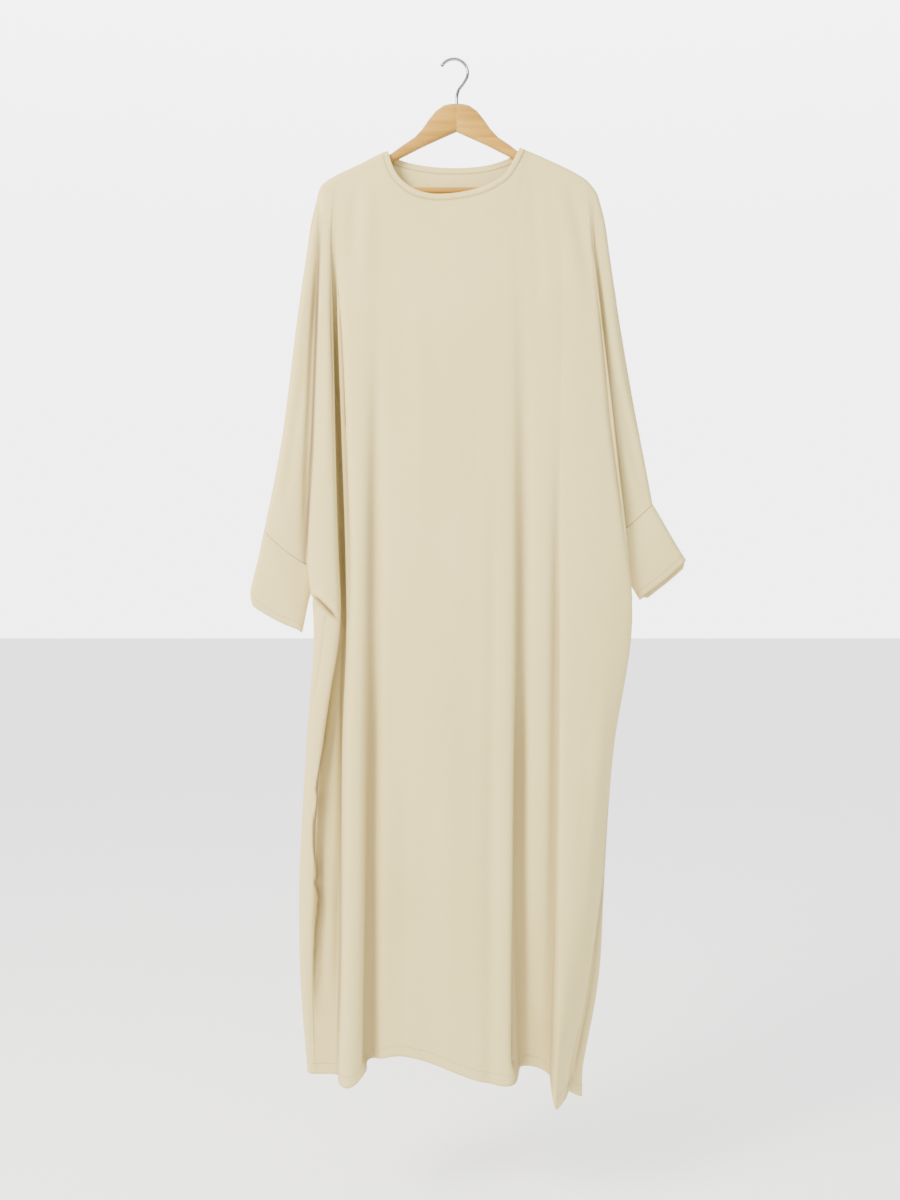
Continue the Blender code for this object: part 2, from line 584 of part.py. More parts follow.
def finish_cloth(name, mesh, material="cloth"):
    data = bpy.data.meshes.new(name)
    mesh.to_mesh(data)
    mesh.free()
    data.shade_smooth()
    thing = bpy.data.objects.new(name, data)
    bpy.context.scene.collection.objects.link(thing)
    data.materials.append(make_material(material))
    wall = thing.modifiers.new("wall", "SOLIDIFY")
    wall.thickness = WALL * MM
    wall.offset = 0.0
    wall.use_quality_normals = True
    return thing


def make_material(name):
    if name in bpy.data.materials:
        return bpy.data.materials[name]
    colour, roughness, metallic = COLOURS[name]
    material = bpy.data.materials.new(name)
    material.use_nodes = True
    shader = material.node_tree.nodes["Principled BSDF"]
    shader.inputs["Base Color"].default_value = colour
    shader.inputs["Roughness"].default_value = roughness
    shader.inputs["Metallic"].default_value = metallic
    return material


def front_panel():
    return panel_mesh("front_panel", front_point, FRONT, FRONT_BODY)


def back_panel():
    return panel_mesh("back_panel", back_point, BACK, BACK_BODY)


def cuff_loop(side):
    """The sleeve's end, all round, with the cuff's length at each point: front from the overarm to
    the underarm, then back again."""
    loop = []
    for columns, cuffs, point in ((FRONT, FRONT_CUFFS, front_point), (BACK, BACK_CUFFS, back_point)):
        if side == "left":
            end = cuffs[0] - CUFF_INSET
            places = [u for u in panel_places(columns) if u < end - 0.3] + [end]
        else:
            end = cuffs[1] + CUFF_INSET
            places = [u for u in panel_places(columns)[::-1] if u > end + 0.3] + [end]
        half = [point(u, 1) for u in places]
        half[-1] = half[-1] + np.array([-CUFF_CLEAR if side == "left" else CUFF_CLEAR, 0, 0])
        across = half[-1] - half[0]
        shares = [np.dot(place - half[0], across) / np.dot(across, across) for place in half]
        ends = CUFF_ENDS[side + ("_front" if columns is FRONT else "_back")]
        half = list(zip(half, np.interp(shares, *zip(*ends))))
        loop += half if columns is FRONT else half[::-1]
    return loop


def cuff(side):
    way = np.array(LEFT_CUFF if side == "left" else RIGHT_CUFF, float)
    loop = cuff_loop(side)
    steps = (0.008, 0.12, 0.35, 0.62, 0.85, 1.0)
    mesh = bmesh.new()
    rings = []
    for step in steps:
        ring = []
        for place, length in loop:
            bulge = 1 + CUFF_BULGE * math.sin(math.pi * step)
            depth = max(abs(place[1]) * bulge, CLOSING + CUFF_ROUND * min(step * 8, 1))
            moved = np.array([place[0], math.copysign(depth, place[1]), place[2]]) + way * step * length
            ring.append(mesh.verts.new(moved * MM))
        rings.append(ring)
    count = len(loop)
    for one, two in zip(rings[:-1], rings[1:]):
        for k in range(count):
            after = (k + 1) % count
            face = (one[k], two[k], two[after], one[after])
            mesh.faces.new(face if side == "left" else face[::-1])
    return finish_cloth("cuff_" + side, mesh)


def neck_loop(out):
    """The neck edge all round, moved out of the opening, with a point at each of the panels' own."""
    points = []
    for path, edge, columns, side, full in ((FRONT_NECK, FRONT_EDGE, FRONT, -1, NECK_FRONT_Y),
                                            (BACK_NECK, BACK_EDGE, BACK, 1, NECK_BACK_Y)):
        places = np.interp(panel_places(columns), range(len(columns)), [c.place for c in columns])
        shares = (places - edge.corners[0]) / (edge.corners[1] - edge.corners[0])
        shares = [share for share in shares if -0.001 < share < 1.001]
        for share in shares if side < 0 else shares[::-1]:
            share = min(max(share, 0.0), 1.0)
            x, z = neck_point(path, share, out)
            turned = rounded(min(LEFT.nearest(x, z), RIGHT.nearest(x, z)))
            points.append(np.array([x, side * SEAM + (full - side * SEAM) * turned, z]))
    return points


def neck_binding():
    """The narrow band round the neck, in line with the panels' edges."""
    mesh = bmesh.new()
    rings = [[mesh.verts.new(place * MM) for place in neck_loop(out)]
             for out in (0.0, BAND_WIDTH / 2, BAND_WIDTH)]
    count = len(rings[0])
    for inner, outer in zip(rings[:-1], rings[1:]):
        for k in range(count):
            after = (k + 1) % count
            mesh.faces.new((inner[k], outer[k], outer[after], inner[after]))
    return finish_cloth("neck_binding", mesh, "band")


def wood_section(x, top, under, half):
    """A section of an arm: an upright oblong with rounded corners."""
    middle = (top + under) / 2
    reach = (top - under) / 2
    radius = min(WOOD_ROUND, half, reach)
    points = []
    for across, up, start in ((1, 1, 0), (-1, 1, 90), (-1, -1, 180), (1, -1, 270)):
        for turn in (0, 30, 60, 90):
            angle = math.radians(start + turn)
            y = across * (half - radius) + radius * math.cos(angle)
            z = middle + up * (reach - radius) + radius * math.sin(angle)
            points.append(np.array([x, y, z]))
    return points


def arm_profile(side):
    """Top and underside of an arm at each distance from the mitre: bare wood, then under the seam."""
    seam = LEFT if side < 0 else RIGHT
    tops = [(distance, height) for distance, height in ARM_TOP]
    for step in np.linspace(0, turn_distance(seam) - ARM_TIP_FROM_TURN, 7):
        x, z = seam.at(step)
        under = WOOD_UNDER_SEAM + WOOD_UNDER_NECK * max(0.0, 1 - step / CORNER_REACH)
        tops.append((side * (x - CENTRE), z - under / math.cos(ARM_SLOPE)))
    return tops


def hanger_arm(name, side):
    tops = arm_profile(side)
    under = sorted(ARM_UNDER)
    tip = tops[-1][0]
    mesh = bmesh.new()
    rings = []
    for distance, top in tops:
        lower = np.interp(distance, [row[0] for row in under], [row[1] for row in under])
        rings.append((distance, top, lower, WOOD_HALF))
    for reach, share in ((2.5, 0.93), (5.0, 0.74), (6.5, 0.45)):
        top, lower = rings[len(tops) - 1][1], rings[len(tops) - 1][2]
        middle, half = (top + lower) / 2, (top - lower) / 2
        rings.append((tip + reach, middle + half * share - reach * 0.3, middle - half * share,
                      WOOD_HALF * share))
    loops = []
    for distance, top, lower, half in rings:
        section = wood_section(CENTRE + side * distance, top, lower, half)
        loops.append([mesh.verts.new(place * MM) for place in section])
    count = len(loops[0])
    for one, two in zip(loops[:-1], loops[1:]):
        for k in range(count):
            after = (k + 1) % count
            face = (one[k], one[after], two[after], two[k])
            mesh.faces.new(face if side > 0 else face[::-1])
    mesh.faces.new(loops[0][::-1] if side > 0 else loops[0])
    mesh.faces.new(loops[-1] if side > 0 else loops[-1][::-1])
    bmesh.ops.recalc_face_normals(mesh, faces=mesh.faces[:])
    thing = finish_hard(name, mesh, "wood")
    for cutter in (bar_hole(), hook_hole()):
        cut = thing.modifiers.new(cutter.name, "BOOLEAN")
        cut.operation = "DIFFERENCE"
        cut.object = cutter
    return thing


def finish_hard(name, mesh, material):
    data = bpy.data.meshes.new(name)
    mesh.to_mesh(data)
    mesh.free()
    data.shade_smooth()
    thing = bpy.data.objects.new(name, data)
    bpy.context.scene.collection.objects.link(thing)
    data.materials.append(make_material(material))
    return thing


def rod_mesh(radius, length, sides):
    mesh = bmesh.new()
    bmesh.ops.create_cone(mesh, cap_ends=True, segments=sides, radius1=radius * MM, radius2=radius * MM,
                          depth=length * MM)
    return mesh


def make_cutter(name, mesh):
    thing = finish_hard(name, mesh, "wood")
    thing.hide_render = True
    thing.display_type = "WIRE"
    return thing


def bar_hole():
    if "bar_hole" in bpy.data.objects:
        return bpy.data.objects["bar_hole"]
    thing = make_cutter("bar_hole", rod_mesh(BAR_RADIUS + FIT, 2 * (BAR_END + FIT), BAR_SIDES))
    thing.location = (CENTRE * MM, 0, BAR_HEIGHT * MM)
    thing.rotation_euler = (0, math.pi / 2, 0)
    return thing


def hook_hole():
    if "hook_hole" in bpy.data.objects:
        return bpy.data.objects["hook_hole"]
    bottom = HOOK_STEM[0][1] - FIT
    length = HOLE_TOP - bottom
    thing = make_cutter("hook_hole", rod_mesh(HOOK_WIRE + FIT, length, 8))
    thing.location = (HOOK_STEM[0][0] * MM, 0, (HOLE_TOP - length / 2) * MM)
    return thing


def hanger_bar():
    thing = finish_hard("hanger_bar", rod_mesh(BAR_RADIUS, 2 * BAR_END, BAR_SIDES), "wood")
    thing.location = (CENTRE * MM, 0, BAR_HEIGHT * MM)
    thing.rotation_euler = (0, math.pi / 2, 0)
    return thing


def hanger_hook():
    """Chrome wire: up out of the wood, across, and round the open loop."""
    loop = []
    for k in range(int((LOOP_TO - LOOP_FROM) / LOOP_STEP) + 1):
        angle = math.radians(LOOP_FROM + k * LOOP_STEP)
        loop.append((LOOP_CENTRE[0] + LOOP_RADIUS * math.cos(angle),
                     LOOP_CENTRE[1] + LOOP_RADIUS * math.sin(angle)))
    route = Path(HOOK_STEM + tuple(loop))
    curve = bpy.data.curves.new("hanger_hook", "CURVE")
    curve.dimensions = "3D"
    curve.bevel_depth = HOOK_WIRE * MM
    curve.bevel_resolution = 2
    curve.use_fill_caps = True
    count = int(route.length / HOOK_STEP)
    spline = curve.splines.new("POLY")
    spline.points.add(count)
    for k in range(count + 1):
        x, z = route.at(route.length * k / count)
        spline.points[k].co = (x * MM, 0, z * MM, 1)
    curve.materials.append(make_material("chrome"))
    thing = bpy.data.objects.new("hanger_hook", curve)
    bpy.context.scene.collection.objects.link(thing)
    return thing


def clear_scene():
    for thing in list(bpy.data.objects):
        bpy.data.objects.remove(thing, do_unlink=True)


def main():
    clear_scene()
    front_panel()
    back_panel()
    cuff("left")
    cuff("right")
    neck_binding()
    hanger_arm("hanger_arm_left", -1)
    hanger_arm("hanger_arm_right", 1)
    hanger_bar()
    hanger_hook()


if __name__ == "__main__":
    main()
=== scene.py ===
"""A batwing abaya on a wooden hanger: cloth, stitching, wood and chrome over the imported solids.

The cloth pieces are drawn from named lines and tables in millimetres. They are those of the solids but
for a few at the lower right and the closed overarm seams, with more points and with the small creases.
Meshes are in metres. +Z is up and the wearer's front faces -Y.
"""

import json
import math

import bpy
import numpy as np
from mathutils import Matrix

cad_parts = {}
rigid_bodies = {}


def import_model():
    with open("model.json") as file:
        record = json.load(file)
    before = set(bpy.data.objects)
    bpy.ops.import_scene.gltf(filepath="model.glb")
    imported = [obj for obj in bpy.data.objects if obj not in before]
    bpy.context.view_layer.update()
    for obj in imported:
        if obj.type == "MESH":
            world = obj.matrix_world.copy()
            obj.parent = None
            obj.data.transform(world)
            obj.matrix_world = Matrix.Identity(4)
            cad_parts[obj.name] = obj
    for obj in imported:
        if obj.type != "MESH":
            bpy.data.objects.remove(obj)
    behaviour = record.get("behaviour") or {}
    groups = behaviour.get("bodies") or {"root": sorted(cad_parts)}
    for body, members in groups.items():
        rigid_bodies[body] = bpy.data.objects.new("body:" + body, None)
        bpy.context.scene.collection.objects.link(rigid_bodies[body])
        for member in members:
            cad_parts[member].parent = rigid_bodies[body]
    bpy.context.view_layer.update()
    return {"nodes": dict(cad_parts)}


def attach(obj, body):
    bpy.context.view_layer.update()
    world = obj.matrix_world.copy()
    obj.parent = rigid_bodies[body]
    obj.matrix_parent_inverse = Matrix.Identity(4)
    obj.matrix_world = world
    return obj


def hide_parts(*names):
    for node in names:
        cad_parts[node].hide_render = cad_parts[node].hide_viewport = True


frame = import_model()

bl_info = {
    "name": "Abaya on a wooden hanger",
    "version": (1, 0, 0),
    "blender": (4, 5, 0),
    "location": "3D View > Sidebar > Abaya",
    "description": "Makes the cloth, stitches, wood and chrome of an abaya on a hanger",
    "category": "Object",
}

MM = 0.001

# Half of the clear space where two sheets meet at a seam, and where a sleeve closes at the underarm
SEAM = 0.55
CLOSING = 0.8

# Distance from a seam over which a sheet turns down until it hangs free
FOLD_OVER = 8.2

# Columns over which a panel's points are drawn in to its closed edge seam
EDGE_COLUMNS = 3

# Share of the way to the underarm over which the top rows are drawn onto the panel's edge, and the
# columns over which a sleeve closes beside its underarm
TOP_SHARE = 0.12
CLOSING_COLUMNS = 1.3

# How far the back's underarm and side seams lie off the front's, and the columns and the share of the
# way above the underarm over which they are led there
LEAD_X = 1.6
LEAD_Y = 1.1
LEAD_COLUMNS = 2.5
LEAD_ABOVE = 0.06

# Neck band: width, gap to the panels, and how far from each corner it turns along the shoulder seam
BAND_WIDTH = 9.0
BAND_GAP = 0.3
CORNER_REACH = 25.0

# Points along each shoulder and along the neck in a panel's top edge
SHOULDER_POINTS = 60
NECK_POINTS = 90

# From where the creases' places were measured: x, z and the distance to the hook
VIEW_X = -7.0
VIEW_Z = -842.1
VIEW_DISTANCE = 2000.0

# Heights of the sections that every fold line is given at
LEVELS = dict(yoke=-285, chest=-375, elbow=-610, cuff=-780, underarm=-857,
              hip=-1074, thigh=-1290, shin=-1436, hem=-1576)
HEIGHTS = tuple(LEVELS.values())
UNDERARM = LEVELS["underarm"]

# Shoulder seam, then overarm seam, from the neck corner out and down to the cuff: x, z
LEFT_SEAM = ((-104, -143), (-122, -149.5), (-146, -162), (-171, -173.5), (-193, -185), (-206, -195),
             (-212, -207), (-215, -220), (-222, -256), (-233, -318), (-248, -410), (-260, -514),
             (-272, -613), (-296, -732))
RIGHT_SEAM = ((102, -138), (126, -147), (148, -157), (178, -171), (202, -185), (212, -194.5),
              (220, -205), (225, -217), (236, -261), (245, -318), (255, -407), (271, -504),
              (289, -590), (311, -693))

# Number of the seam point at the hanger's tip, where the shoulder seam turns to the overarm
TURN = 7

# Neck edge, from the wearer's right corner to the left one: x, z
NECK_FRONT = ((-104, -143), (-96, -168), (-87, -184), (-76, -195), (-60, -205), (-38, -211),
              (-14, -211.5), (10, -209), (36, -203), (56, -195), (77, -181), (91, -160), (102, -138))
NECK_BACK = ((-104, -143), (-81, -154), (-57, -160), (-27, -164), (9, -165), (45, -162),
             (72, -155), (88, -148), (102, -138))
NECK_FRONT_Y = -10.5
NECK_BACK_Y = 9.0

# Fold lines, left and right as the photograph shows them: x at each level of LEVELS
LINES = dict(
    overarm_left=(-228, -241, -272, -307, -326),
    hidden_left=(-210, -200, -197, -211, -217, -232, -243, -241, -230),
    pleat_left=(-206.5, -212, -219, -229, -220, -231, -242, -240, -229),
    strip_left=(-192, -188, -182, -177, -174, -202, -214, -219, -216),
    strip_under=(-194, -191, -187, -182, -179, -206, -216, -219, -216),
    roll_left=(-184, -182, -174, -168, -167, -173, -176, -178, -179),
    trough_left=(-117, -118, -119, -121, -122, -125, -126, -128, -128),
    lip_middle=(91, 93, 94, 96, 97, 97, 96, 96, 97),
    trough_middle=(109, 109, 108, 107, 107, 105, 104, 102, 101),
    fold_right=(165, 165, 162, 159, 157, 155, 152, 150, 147),
    edge_right=(212, 224, 251, 270, 276, 247, 228, 206, 178),
    hidden_right=(216, 211, 221, 238, 262, 247, 228, 206, 178),
    overarm_right=(239, 252, 293, 328, 350),
    side_left=(-199, -191, -186, -201, -219, -232, -243, -241, -230),
    back_left=(-193, -184, -178, -193, -215, -231, -242, -240, -229),
    back_right=(196, 199, 202, 214, 262, 251, 242, 237, 211),
    side_right=(201, 204, 207, 223, 280, 247, 228, 206, 178),
    gusset_low=(204, 207, 211, 230, 290, 255, 236, 214, 186),
    gusset_high=(208, 209, 215, 235, 275),
)

# How far the small shifts of a pleat's two turns have opened at each level
OPEN = (0.2, 1, 1, 1, 1, 1, 1, 1, 1)

# Front panel, left of the neck. Each row is a fold line across the panel: its name, where it leaves
# the seam (mm from the turn at the hanger's tip), the two lines it lies between, its share of the
# way and its shift, the height where the sleeve or underarm seam ends it or the underarm passes it,
# its hem height, and its y at the shoulder and at each level.
FRONT_LEFT = (
    ("overarm", 0, "overarm_left", "overarm_left", 0, 0, -732, 0, (-9, -9, -9, -9, -9, -9)),
    ("sleeve_a", 4, "overarm_left", "pleat_left", 0.12, 0, -741, 0, (-8.2, -9, -10, -11, -11, -10)),
    ("sleeve_b", 8, "overarm_left", "pleat_left", 0.45, 0, -760, 0, (-8.2, -9, -10.5, -12, -12, -10)),
    ("sleeve_c", 12, "overarm_left", "pleat_left", 0.85, 0, -782, 0, (-8.2, -9, -10, -11, -10, -8)),
    ("under_a", 16, "hidden_left", "hidden_left", 0, -5, -794, 0, (-8.2, -9.5, -10, -10.5, -7, -4)),
    ("under_b", 20, "hidden_left", "hidden_left", 0, 1, -801, 0, (-8.2, -10.5, -12.5, -15, -6, -1)),
    ("under_c", 24, "hidden_left", "hidden_left", 0, 0, -813, 0, (-8.2, -12, -15, -19, -12, -4)),
    ("pleat_back", 28, "pleat_left", "pleat_left", 0, 3, -826, -1576,
     (-8.2, -13.5, -16, -20.5, -20, -18, -6, -1, 1, 2)),
    ("pleat_edge", 32, "pleat_left", "pleat_left", 0, -1, -839, -1576,
     (-8.2, -15, -21, -27, -28, -25, -14, -9, -6, -4)),
    ("strip_a", 37, "pleat_left", "strip_left", 0.3, 0, -844, -1577,
     (-8.2, -15.5, -22, -30, -33, -32, -28, -18, -11, -9)),
    ("strip_b", 42, "pleat_left", "strip_left", 0.6, 0, -848, -1578,
     (-8.2, -15.5, -22, -30, -34, -34, -31, -21, -13, -10)),
    ("strip_c", 48, "pleat_left", "strip_left", 0.86, 0, -852, -1578,
     (-8.2, -15, -21.5, -29, -33, -34, -32, -22, -13, -10)),
    ("strip_lip", 54, "strip_left", "strip_left", 0, 0, -855, -1578,
     (-8.2, -13.5, -18, -24, -27, -28, -27, -18, -12, -10)),
    ("valley_a", 58, "strip_under", "strip_under", 0, -1, UNDERARM, -1578,
     (-8.2, -12, -13, -14.5, -14, -14, -13, -10, -9, -9)),
    ("valley_b", 62, "strip_left", "roll_left", 0.5, 0, UNDERARM, -1578,
     (-8.2, -11, -10.5, -9, -8, -8, -8, -7, -8, -8)),
    ("valley_c", 66, "roll_left", "roll_left", 0, 4, UNDERARM, -1578,
     (-8.2, -11, -11, -10, -9, -9, -8, -7, -9, -10)),
    ("roll_lip", 71, "roll_left", "roll_left", 0, -2, UNDERARM, -1580,
     (-8.2, -11.5, -15, -20, -22, -22, -24, -26, -28, -30)),
    ("roll_a", 79, "roll_left", "roll_left", 0, 7, UNDERARM, -1583,
     (-8.2, -12, -19, -28, -32, -34, -40, -45, -49, -53)),
    ("roll_b", 90, "roll_left", "trough_left", 0.42, 0, UNDERARM, -1584,
     (-8.2, -12.5, -20.5, -31, -36, -38, -45, -51, -55, -59)),
    ("roll_c", 104, "roll_left", "trough_left", 0.75, 0, UNDERARM, -1572,
     (-8.2, -12.5, -20, -30, -34, -36, -41, -45, -47, -47)),
    ("trough", 119, "trough_left", "trough_left", 0, 0, UNDERARM, -1552,
     (-8.6, -12, -19, -27, -31, -33, -36, -36, -34, -31)),
)

# Front panel below the neck, between the left trough and the lip of the middle roll: share of the
# way across, and hem height
FRONT_MIDDLE = (
    (0.05, -1548), (0.11, -1544), (0.18, -1542), (0.26, -1543), (0.34, -1547), (0.43, -1553),
    (0.52, -1560), (0.61, -1567), (0.70, -1573), (0.80, -1578), (0.90, -1581), (0.985, -1579),
)
MIDDLE_TROUGH_Y = (-9.5, -12, -19, -27, -31, -33, -36, -36, -34, -31)
MIDDLE_LIP_Y = (-10, -13, -21, -29, -34, -37, -43, -49, -54, -58)
MIDDLE_CROWN = (1.0, 1.5, 2, 3, 3, 3, 2, 0, -2, -4)

# Front panel, right of the neck, with the same columns as FRONT_LEFT
FRONT_RIGHT = (
    ("lip_back", 134, "lip_middle", "lip_middle", 0, 2, UNDERARM, -1568,
     (-8.6, -12.5, -19.5, -26.5, -30, -32, -35, -37, -37, -37)),
    ("trough", 125, "trough_middle", "trough_middle", 0, 0, UNDERARM, -1562,
     (-8.2, -12, -18, -24, -27, -28, -28, -25, -21, -18)),
    ("panel", 117, "trough_middle", "fold_right", 0.5, 0, UNDERARM, -1562,
     (-8.2, -12.5, -20, -28, -32, -33, -34, -31, -24, -17)),
    ("fold_foot", 106, "fold_right", "fold_right", 0, -2, UNDERARM, -1571,
     (-8.2, -12.5, -19.5, -27.5, -30.5, -31.5, -31, -28, -24, -20)),
    ("fold_lip", 99, "fold_right", "fold_right", 0, 1, UNDERARM, -1592,
     (-8.2, -12.3, -19, -27, -29.5, -31, -33, -35, -37, -38)),
    ("fold_front", 92, "fold_right", "fold_right", 0, 4, UNDERARM, -1614,
     (-8.2, -12.5, -19.5, -28, -32.5, -35, -41, -47, -52, -56)),
    ("last_a", 78, "fold_right", "edge_right", 0.3, 0, UNDERARM, -1618,
     (-8.2, -13, -20, -29, -34, -36, -42, -48, -52, -54)),
    ("last_b", 62, "fold_right", "edge_right", 0.6, 0, UNDERARM, -1609,
     (-8.2, -13.5, -20, -28, -32, -34, -36, -38, -38, -38)),
    ("last_c", 47, "fold_right", "edge_right", 0.88, 0, -854, -1606,
     (-8.2, -14, -19.5, -26, -29, -29, -27, -24, -22, -20)),
    ("edge", 38, "edge_right", "edge_right", 0, 1, -847, -1604,
     (-8.2, -14, -18.5, -24, -26, -24, -18, -12, -9, -7)),
    ("edge_back", 32, "edge_right", "edge_right", 0, -2, -818, -1604,
     (-8.2, -12.5, -14.5, -18, -17, -15, -8, -2, 0, 2)),
    ("under_a", 26, "hidden_right", "hidden_right", 0, 3, -782, 0, (-8.2, -11, -13.5, -16, -9, -6)),
    ("under_b", 21, "hidden_right", "hidden_right", 0, -1, -758, 0, (-8.2, -10, -11, -12, -4, 0)),
    ("under_c", 16, "hidden_right", "hidden_right", 0, 5, -751, 0, (-8.2, -9.5, -10, -10.5, -7, -4)),
    ("sleeve_a", 12, "hidden_right", "overarm_right", 0.25, 0, -741, 0, (-8.2, -9, -9.5, -10, -8, -6)),
    ("sleeve_b", 8, "hidden_right", "overarm_right", 0.55, 0, -723, 0, (-8.2, -9, -10, -11, -8, -7)),
    ("sleeve_c", 4, "hidden_right", "overarm_right", 0.88, 0, -701, 0, (-8.2, -9, -9.5, -10, -8, -7)),
    ("overarm", 0, "overarm_right", "overarm_right", 0, 0, -693, 0, (-9, -9, -9, -9, -9, -9)),
)

# Back panel, both sides, with the same columns as FRONT_LEFT
BACK_LEFT = (
    ("overarm", 0, "overarm_left", "overarm_left", 0, 0, -732, 0, (9, 9, 9, 9, 9, 9)),
    ("sleeve_a", 4, "overarm_left", "hidden_left", 0.12, 0, -741, 0, (8.2, 9, 10, 11, 10, 9)),
    ("sleeve_b", 8, "overarm_left", "hidden_left", 0.5, 0, -766, 0, (8.2, 9, 11, 13, 12, 10)),
    ("sleeve_c", 12, "overarm_left", "hidden_left", 0.86, 0, -792, 0, (8.2, 9, 11, 12, 8, 5)),
    ("gusset_a", 16, "hidden_left", "hidden_left", 0, 0, -801, 0, (8.2, 9, 11, 12, 4, 0)),
    ("gusset_b", 21, "hidden_left", "hidden_left", 0, 3, -812, 0, (8.2, 9, 11.5, 12, 6, -9)),
    ("gusset_c", 26, "hidden_left", "hidden_left", 0, 7, -826, -1576,
     (8.2, 9, 12, 13, 9, -16, -16, -12, -10, -8)),
    ("side", 31, "side_left", "side_left", 0, 0, -839, -1576,
     (8.2, 9, 12, 13.5, 11, -20, -10, -6, -3, -1)),
    ("side_back", 37, "back_left", "back_left", 0, 1, -850, -1578,
     (8.2, 9, 12, 14, 13, 2, 2, 3, 4, 5)),
    ("body_a", 46, "back_left", "back_right", 0.03, 0, UNDERARM, -1580,
     (8.2, 9.5, 12.5, 15, 15, 12, 12, 12, 13, 14)),
)
BACK_RIGHT = (
    ("body_a", 54, "back_left", "back_right", 0.96, 0, UNDERARM, -1608,
     (8.2, 9.5, 12.5, 15, 15, 15, 14, 14, 14, 14)),
    ("side_back", 42, "back_right", "back_right", 0, 1, -852, -1626,
     (8.2, 9, 12, 14, 13, 6, 5, 5, 5, 4)),
    ("side", 37, "side_right", "side_right", 0, 0, -847, -1604,
     (8.2, 9, 12, 14, 12, -16, -10, -7, -5, -4)),
    ("gusset_c", 32, "gusset_low", "gusset_low", 0, 0, -818, -1604,
     (8.2, 9, 11.5, 13, 6, -12, -18, -14, -12, -10)),
    ("gusset_b", 26, "gusset_high", "gusset_high", 0, 0, -782, 0, (8.2, 9, 11, 12, 0, -5)),
    ("gusset_a", 21, "hidden_right", "hidden_right", 0, 0, -758, 0, (8.2, 9, 10, 11, 2, 0)),
    ("sleeve_a", 15, "hidden_right", "overarm_right", 0.25, 0, -741, 0, (8.2, 9, 10, 12, 8, 6)),
    ("sleeve_b", 10, "hidden_right", "overarm_right", 0.55, 0, -723, 0, (8.2, 9, 10.5, 12, 9, 7)),
    ("sleeve_c", 5, "hidden_right", "overarm_right", 0.88, 0, -701, 0, (8.2, 9, 10, 11, 9, 7)),
    ("overarm", 0, "overarm_right", "overarm_right", 0, 0, -693, 0, (9, 9, 9, 9, 9, 9)),
)

# Back panel below the neck and shoulders: where the column leaves the seam or the neck, its share
# of the way across, its fold from -1 (a trough) to 1 (a roll), and its hem height
BACK_MIDDLE = (
    ("left", 70, 0.08, 0.7, -1576),
    ("left", 104, 0.16, -0.9, -1570),
    ("neck", 0.00, 0.25, 0.7, -1560),
    ("neck", 0.16, 0.32, -0.4, -1552),
    ("neck", 0.33, 0.39, 0.5, -1553),
    ("neck", 0.50, 0.48, -0.5, -1562),
    ("neck", 0.67, 0.57, 0.6, -1570),
    ("neck", 0.84, 0.64, -0.5, -1576),
    ("neck", 1.00, 0.72, 0.6, -1575),
    ("right", 110, 0.81, -0.9, -1566),
    ("right", 78, 0.90, 0.7, -1583),
)
BACK_BASE_Y = (9, 10, 13, 17, 19, 20, 21, 22, 23, 24)
BACK_FOLD_DEPTH = (0, 1, 2.5, 4.5, 5, 5, 6.5, 8, 9, 10)

# Cuffs: the way from the seam to the open edge, the share of depth added in the middle, and how far
# the narrow inner end keeps off the underarm and its own other wall
LEFT_CUFF = (-22, 0, -98)
RIGHT_CUFF = (52, 0, -87)

# Length of each half of a cuff, as a share of that way: share of its width from the overarm, length
LEFT_CUFF_ENDS = ((0, 0.97), (0.05, 1.06), (0.12, 1.12), (0.3, 1.085), (0.57, 1.04), (1, 0.97))
CUFF_ENDS = dict(
    left_front=LEFT_CUFF_ENDS,
    left_back=LEFT_CUFF_ENDS,
    right_front=((0, 1), (1, 1)),
    right_back=((0, 1), (0.1, 1.085), (0.5, 1.08), (0.92, 1.07), (1, 1)),
)
CUFF_BULGE = 0.3
CUFF_ROUND = 1.0
CUFF_INSET = 0.45
CUFF_CLEAR = 2.0

# How far past the sleeve's end its columns would run on
SLEEVE_PAST = 40

# Hook, along the middle of its wire: x, z from the wood up to where the round loop begins
HOOK_STEM = ((3.5, -80), (3.5, -66), (3.6, -57), (6.5, -46.5), (13.2, -37.8))
LOOP_CENTRE = (-1.0, -19.8)
LOOP_RADIUS = 21.6
LOOP_FROM = -25.0
LOOP_TO = 153.0
LOOP_STEP = 4.0


def smooth_through(xs, values, x):
    """A smooth curve through the values at xs, read at x; xs may run either way."""
    xs = np.asarray(xs, float)
    values = np.asarray(values, float)
    if xs[0] > xs[-1]:
        xs = xs[::-1]
        values = values[::-1]
    slopes = np.gradient(values, xs)
    x = np.clip(x, xs[0], xs[-1])
    at = np.clip(np.searchsorted(xs, x) - 1, 0, len(xs) - 2)
    width = xs[at + 1] - xs[at]
    t = (x - xs[at]) / width
    start, end = values[at], values[at + 1]
    return ((1 + 2 * t) * (1 - t) ** 2 * start + t * (1 - t) ** 2 * width * slopes[at]
            + t * t * (3 - 2 * t) * end + t * t * (t - 1) * width * slopes[at + 1])


class Line:
    """A line through points, read by the distance along it."""

    def __init__(self, points):
        self.points = points
        lengths = np.linalg.norm(np.diff(points, axis=0), axis=1)
        self.distance = np.concatenate([[0], np.cumsum(lengths)])
        self.length = self.distance[-1]

    def at(self, distance):
        return np.array([np.interp(distance, self.distance, values) for values in self.points.T])


